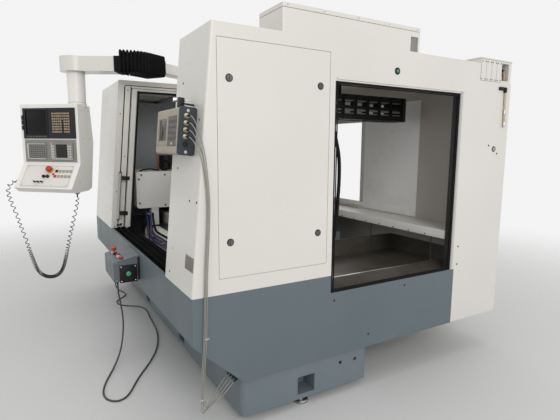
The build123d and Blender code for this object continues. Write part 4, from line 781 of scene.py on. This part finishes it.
block_piece("box_plate", "black_plastic", [(-1145.6, -83, 677, 3, 124, 130)], 0.8)
screws(
    "box_plate_screws", [at(-1144.2, -83 + y, 677 + z) for y in (-50, 50) for z in (-53, 53)], right_out, 5,
    "bright_steel")
ring_piece("box_start_bezel", "ring_grey", [on_side(-83, 677, -1144.4)], 14.6, 20, -0.4, 2.4)
lathe_piece(
    "box_start_cap", "green_plastic", [on_side(-83, 677, -1138)],
    [(13.4, -0.4), (13.4, 0.9), (17.4, 1), (17.4, 2), (15, 4), (8, 5.4), (2, 5.7)], body="box_start")
block_piece("box_edge_strip", "black_plastic", [(-1148.6, -9, 706, 4, 15, 172)], 0.8)
screws("box_side_screws", [at(-1150, y, z) for y, z in ((-165, 760), (-165, 632), (-18, 640))], right_out, 4, "steel")
ring_piece("box_stop_collar", "module_pale", [basis(box_top(-1440, -130), (0, 0, 1))], 11.6, 19, -5, 8)
for index, finish in enumerate(("black_plastic", "red_plastic", "module_pale", "red_plastic")):
    spot = box_top(-1375 + 58 * index, -130 + 10 * (index % 2))
    lathe_piece(
        f"box_switch_{index + 1}", finish, [basis(spot, (0, 0, 1))], [(13.6, -4), (13.6, 12.6), (11, 14.4), (5, 15)])
    ring_piece(f"box_switch_nut_{index + 1}", "black_plastic", [basis(spot, box_up)], 13.4, 18, -1, 2.4)
lathe_piece(
    "box_cable_relief", "black_plastic", [basis(at(-1312, -134, 618), (0, 0, -1))],
    [(17, -1), (17, 8), (13, 10), (13, 24), (9.6, 30), (8, 42), (6.6, 58)])

# Pendant: screen, keys, lower modules, desk controls and glands.
pendant_blocks("pendant_screen", "screen", [(-128, 1, 8, 209, 1.6, 205)], 0.4)
rim_piece(
    "pendant_screen_rim", "bezel", facing(pendant_place, -128, -4, 8, (0, -1, 0), (1, 0, 0)), 220, 216, 7, 2.4,
    body="pendant")
pendant_blocks("pendant_soft_keys", "module_dark", [(-214 + 29 * k, -5.4, -113, 20, 3, 11) for k in range(7)], 0.6)
caps = []
for row in range(8):
    z = 82 - 22 * row
    for column in range(9 if row < 3 else 5):
        caps.append((42 + 19.5 * column, -5.9, z, 14.4, 5, 14.4))
    if row in (3, 4):
        caps += [(158 + 19.5 * column, -5.9, z, 15, 5, 14.8) for column in range(3)]
pendant_blocks("pendant_keys", "key_beige", caps, 0.9)
pendant_blocks(
    "pendant_arrow_keys", "key_beige",
    [(158 + 19.5 * c, -5.9, 82 - 22 * r, 15, 5, 14.8) for r in (5, 6, 7) for c in range(3)], 0.9)
pendant_blocks("pendant_bezel_clips", "black_plastic", [(-262, -3.5, z, 22, 9, 38) for z in (50, 8, -36)], 2.5)
pendant_blocks("lower_left_field", "module_dark", [(-130, -12.2, -241, 162, 1.8, 118)], 0.5)
pendant_blocks(
    "lower_left_keys", "panel_grey",
    [(-196 + 22 * c, -13.4, -194 - 19 * r, 13, 2, 10) for c in range(7) for r in range(6)], 0.5)
pendant_blocks(
    "lower_left_frame", "module_pale",
    [(-219, -12.4, -240, 13, 3, 134), (-134, -12.4, -303.4, 183, 3, 8), (-134, -12.4, -174.6, 183, 2, 5)], 0.7)
pendant_blocks("lower_display", "display_dark", [(116, -8.4, -235.5, 110, 1.6, 113)], 0.4)
pendant_blocks(
    "lower_right_frame", "module_pale", [(18, -12.4, -236, 8, 3, 142), (120, -12.4, -303.4, 211, 3, 8)], 0.7)
pendant_blocks(
    "lower_right_keys", "module_pale",
    [(x, -13.6, -285 + 22 * r, 15.4 + 3.4 * (x < 60), 4, 15) for x in (35, 186, 206) for r in range(5)], 0.8)
screws(
    "lower_panel_screws", [pendant_place @ mm(x, -2, z) for x in (-246, 246) for z in (-152, -317)],
    pendant_place.to_3x3() @ Vector((0, -1, 0)), 4.5, "steel", body="pendant")
rim_piece("desk_outline", "panel_grey", shift(desk_place, 0, 0, 1.8), 462, 196, 1.8, 0.7, body="pendant")
desk_out = desk_place.to_3x3() @ Vector((0, 0, 1))
screws(
    "desk_screws", [desk_place @ mm(x, y, 2) for x in (-218, -72, 74, 218) for y in (-88, 90)], desk_out, 4.5,
    "steel", 1.8, body="pendant")
ring_piece("stop_collar", "yellow_plastic", [shift(desk_place, 18, 54, 0)], 12.6, 29, 1.8, 14.6, body="pendant")
lathe_piece(
    "desk_knobs", "black_plastic", [shift(desk_place, x, -8, 0) for x in (-26, 12)],
    [(14.4, 1.8), (14.4, 3.4), (13.4, 4.2), (13.4, 16.6), (11, 18.4)], body="pendant")
desk_blocks(
    "desk_keys", "key_pale", [(116 + 34 * c, 46 - 50 * r, 5.4, 23, 23, 7) for c in range(4) for r in range(2)], 1.4)
desk_blocks("desk_key_black", "black_plastic", [(82, 46, 5.6, 23, 23, 7.4)], 1.4)
desk_blocks("desk_key_red", "red_plastic", [(82, -4, 5.6, 23, 23, 7.4)], 1.4)
lathe_piece(
    "desk_button_red", "red_plastic", [shift(desk_place, 58, 16, 0)],
    [(10, 1.8), (10, 4), (8, 4.4), (8, 10), (6, 11.4)], body="pendant")
lathe_piece(
    "desk_lever_nuts", "steel", [shift(desk_place, x, -62, 0) for x in (-92, -58, -22)],
    [(11, 1.8), (11, 5), (9.6, 7.8), (6, 8.2)], 18, body="pendant")
lathe_piece(
    "desk_levers", "black_plastic",
    [shift(desk_place, x, -62, 12) @ Matrix.Rotation(radians(18), 4, "X") for x in (-92, -58, -22)],
    [(5.6, -6), (5.6, 2), (6.6, 10), (7, 14), (4, 15.6)], 18, body="pendant")
side_gland = facing(pendant_place, -286, -70, -505, (-1, 0, 0))
foot_gland = facing(pendant_place, 222, 20, -590, (0, 0, -1))
lathe_piece(
    "pendant_glands", "black_plastic", [side_gland, foot_gland],
    [(23, -1), (23, 6), (20.6, 7.6), (20.6, 12.4), (9, 14.4), (7, 22), (5.2, 34), (4, 44)], body="pendant")
screws(
    "pendant_side_screws",
    [pendant_place @ mm(286, y, z) for y, z in ((50, 110), (50, -130), (50, -380), (-20, -500))], pendant_right, 4.5,
    "steel", body="pendant")
screws(
    "pendant_rear_screws", [pendant_place @ mm(278, 150, z) for z in (110, -130, -380, -520)], pendant_right, 4.5,
    "steel", body="pendant")
ring_piece("tube_seam", "module_pale", [Matrix.Translation(at(-2172, -249, 1966))], 70, 73.4, -2, 2, body="pendant")

# Bellows over the elbow: pleats with rounded corners between two plain end sleeves.
elbow = Vector((-1923, 182, 0))
inner_way = Vector((541, -868, 0)).normalized()
outer_way = Vector((-249, -431, 0)).normalized()
outer_reach, inner_reach, bend_radius = 136, 300, 140
into = -outer_way
away = -inner_way
bend = into.angle(away)
reach_back = bend_radius * tan(bend / 2)
first_run = outer_reach - reach_back
arc_run = bend_radius * bend
bellows_side = Vector((-into.y, into.x, 0))
if bellows_side.dot(away) < 0:
    bellows_side = -bellows_side


def bellows_station(s):
    """Point and heading at a length along the bent middle line."""
    if s <= first_run:
        return elbow - into * (outer_reach - s), into
    if s >= first_run + arc_run:
        return elbow + away * (reach_back + s - first_run - arc_run), away
    a = (s - first_run) / bend_radius
    centre = elbow - into * reach_back + bellows_side * bend_radius
    point = centre - bellows_side * bend_radius * cos(a) + into * bend_radius * sin(a)
    return point, into * cos(a) + bellows_side * sin(a)


bellows_total = outer_reach + inner_reach - 2 * reach_back + arc_run


def add_section(bm, s, half, low, high, soft):
    """Rounded rectangle across the arm's middle line."""
    point, heading = bellows_station(s)
    across = Vector((-heading.y, heading.x, 0))
    ring = []
    middle = (low + high) / 2
    tall = (high - low) / 2
    for cx, cz, start in ((1, 1, 0), (-1, 1, 90), (-1, -1, 180), (1, -1, 270)):
        for k in range(5):
            a = radians(start + 22.5 * k)
            u = cx * (half - soft) + soft * cos(a)
            v = cz * (tall - soft) + soft * sin(a)
            p = point + across * u
            ring.append(bm.verts.new(at(p.x, p.y, middle + v)))
    return ring


def bellows(bm):
    sleeve = 48
    tail = 30
    pleats = 20
    pitch = (bellows_total - sleeve - tail) / pleats
    stations = [(0, 90, 2224, 2338, 8), (2, 97, 2216, 2346, 10), (sleeve, 97, 2216, 2346, 10)]
    for i in range(pleats):
        s = sleeve + pitch * i
        for share, inset in ((0.04, 17), (0.28, 4), (0.44, 0.4), (0.56, 0.4), (0.72, 4), (0.96, 17)):
            stations.append((s + pitch * share, 119.5 - inset, 2211.5 + inset, 2396.5 - inset, 20))
    stations += [(bellows_total - tail, 94, 2240, 2366, 12), (bellows_total - 2, 94, 2240, 2366, 12),
                 (bellows_total, 88, 2246, 2360, 10)]
    skin(bm, [add_section(bm, *row) for row in stations])


pleated = piece("bellows_cover", "bellows_rubber", bellows, body=None)
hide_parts("arm_bellows")
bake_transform(pleated)

# Arm fixings.
arm_side = Vector((-outer_way.y, outer_way.x, 0))
screws(
    "outer_arm_screws",
    [at(*(elbow + outer_way * d + arm_side * s)[:2], 2341) for d in (190, 400) for s in (-70, 70)], (0, 0, 1), 5,
    "steel", body="arm_outer")
lathe_piece(
    "arm_head_cap", "white_paint", [Matrix.Translation(at(-2172, -249, 2340))],
    [(112, 0), (112, 2.2), (108, 4), (30, 4.6)], 48, body="arm_outer")

# Left side, rear and roof: panel seams, doors, louvres and handles.
block_piece("left_side_seams", "dark_paint", [(-3220.2, y, 1510, 1.2, 3, 1370) for y in (760, 1520)], 0.2)
screws(
    "left_side_screws", [at(-3220, y, z) for y in (730, 790, 1490, 1550, 2250) for z in (900, 1500, 2120)],
    (-1, 0, 0), 6)
rear_doors = [(-1382, -712), (-700, -30)]
block_piece("rear_doors", "white_paint", [((a + b) / 2, 2562, 1190, b - a, 5, 1720) for a, b in rear_doors], 2)
block_piece(
    "rear_louvres", "panel_grey",
    [((a + b) / 2, 2566, 1900 - 22 * k, 360, 6, 9) for a, b in rear_doors for k in range(6)], 2)
block_piece("rear_door_handles", "black_plastic", [(b - 46, 2570, 1200, 22, 12, 130) for a, b in rear_doors], 3)
ring_piece(
    "rear_door_locks", "bright_steel",
    [basis(at(b - 46, 2564.5, z), (0, 1, 0)) for a, b in rear_doors for z in (560, 1820)], 3, 13, -0.5, 4)
screws(
    "rear_wall_screws", [at(x, 2300, z) for x in (-3180, -2800, -2440) for z in (420, 1000, 1600, 2150)], (0, 1, 0),
    6)
block_piece("roof_seams", "dark_paint", [(x, 1480, 2207.3, 3, 1580, 1) for x in (-1200, -2200)], 0.2)
screws("roof_screws", [at(x, y, 2207) for x in (-1170, -1230, -2170, -2230) for y in (760, 1480, 2180)], (0, 0, 1), 6)


# Floor, lamps and world. The floor fades out, so that its far edge doesn't show against the background.
floor_mesh = bpy.data.meshes.new("floor")
floor_mesh.from_pydata([(-40, -40, 0), (40, -40, 0), (40, 40, 0), (-40, 40, 0)], [], [(0, 1, 2, 3)])
floor = put("floor", floor_mesh)
floor_mat = bpy.data.materials.new("floor")
floor_mat.use_nodes = True
tree = floor_mat.node_tree
shader = tree.nodes["Principled BSDF"]
shader.inputs["Roughness"].default_value = 0.7
shader.inputs["Specular IOR Level"].default_value = 0.2
cloud = add_node(tree, "TexNoise", {"Scale": 0.6}).outputs["Fac"]
tone = add_node(tree, "Mix", {"A": (0.66, 0.66, 0.65, 1), "B": (0.62, 0.62, 0.61, 1)}, {"Factor": cloud},
                data_type="RGBA")
tree.links.new(tone.outputs["Result"], shader.inputs["Base Color"])
place = add_node(tree, "TexCoord").outputs["Object"]
reach = add_node(tree, "VectorMath", None, {0: place}, operation="LENGTH").outputs["Value"]
fade = add_node(tree, "MapRange", {"From Min": 2.6, "From Max": 7.5}, {"Value": reach},
                interpolation_type="SMOOTHSTEP").outputs["Result"]
clear = add_node(tree, "BsdfTransparent").outputs["BSDF"]
blend = add_node(tree, "MixShader", None, {"Fac": fade, 1: shader.outputs["BSDF"], 2: clear})
tree.links.new(blend.outputs["Shader"], tree.nodes["Material Output"].inputs["Surface"])
floor_mesh.materials.append(floor_mat)


def lamp(name, place, target, size, power):
    data = bpy.data.lights.new(name, "AREA")
    data.shape = "RECTANGLE"
    data.size = size[0]
    data.size_y = size[1]
    data.energy = power
    made = put(name, data)
    direction = Vector(target) - Vector(place)
    made.location = place
    made.rotation_euler = direction.to_track_quat("-Z", "Y").to_euler()


lamp("key", (10.5, -1.6, 5.4), (0.6, 0.2, 1.1), (6.5, 5), 435)
lamp("front", (-1.5, -7.5, 4), (-0.4, 0, 1.2), (5, 3), 5)
lamp("top", (0, 0, 7), (0, 0, 0), (6, 6), 105)

world = bpy.data.worlds.new("world")
bpy.context.scene.world = world
world.use_nodes = True
tree = world.node_tree
light = tree.nodes["Background"]
light.inputs["Color"].default_value = (1, 1, 1, 1)
light.inputs["Strength"].default_value = 0.68
plain = add_node(tree, "Background", {"Color": (0.9, 0.9, 0.9, 1), "Strength": 1.0}).outputs["Background"]
rays = add_node(tree, "LightPath").outputs
seen = rays["Is Camera Ray"]
for kind in ("Is Glossy Ray", "Is Transmission Ray"):
    seen = add_node(tree, "Math", None, {0: seen, 1: rays[kind]}, operation="MAXIMUM").outputs["Value"]
blend = add_node(tree, "MixShader", None, {"Fac": seen, 1: light.outputs["Background"], 2: plain})
tree.links.new(blend.outputs["Shader"], tree.nodes["World Output"].inputs["Surface"])

bpy.context.scene.view_settings.view_transform = "Standard"
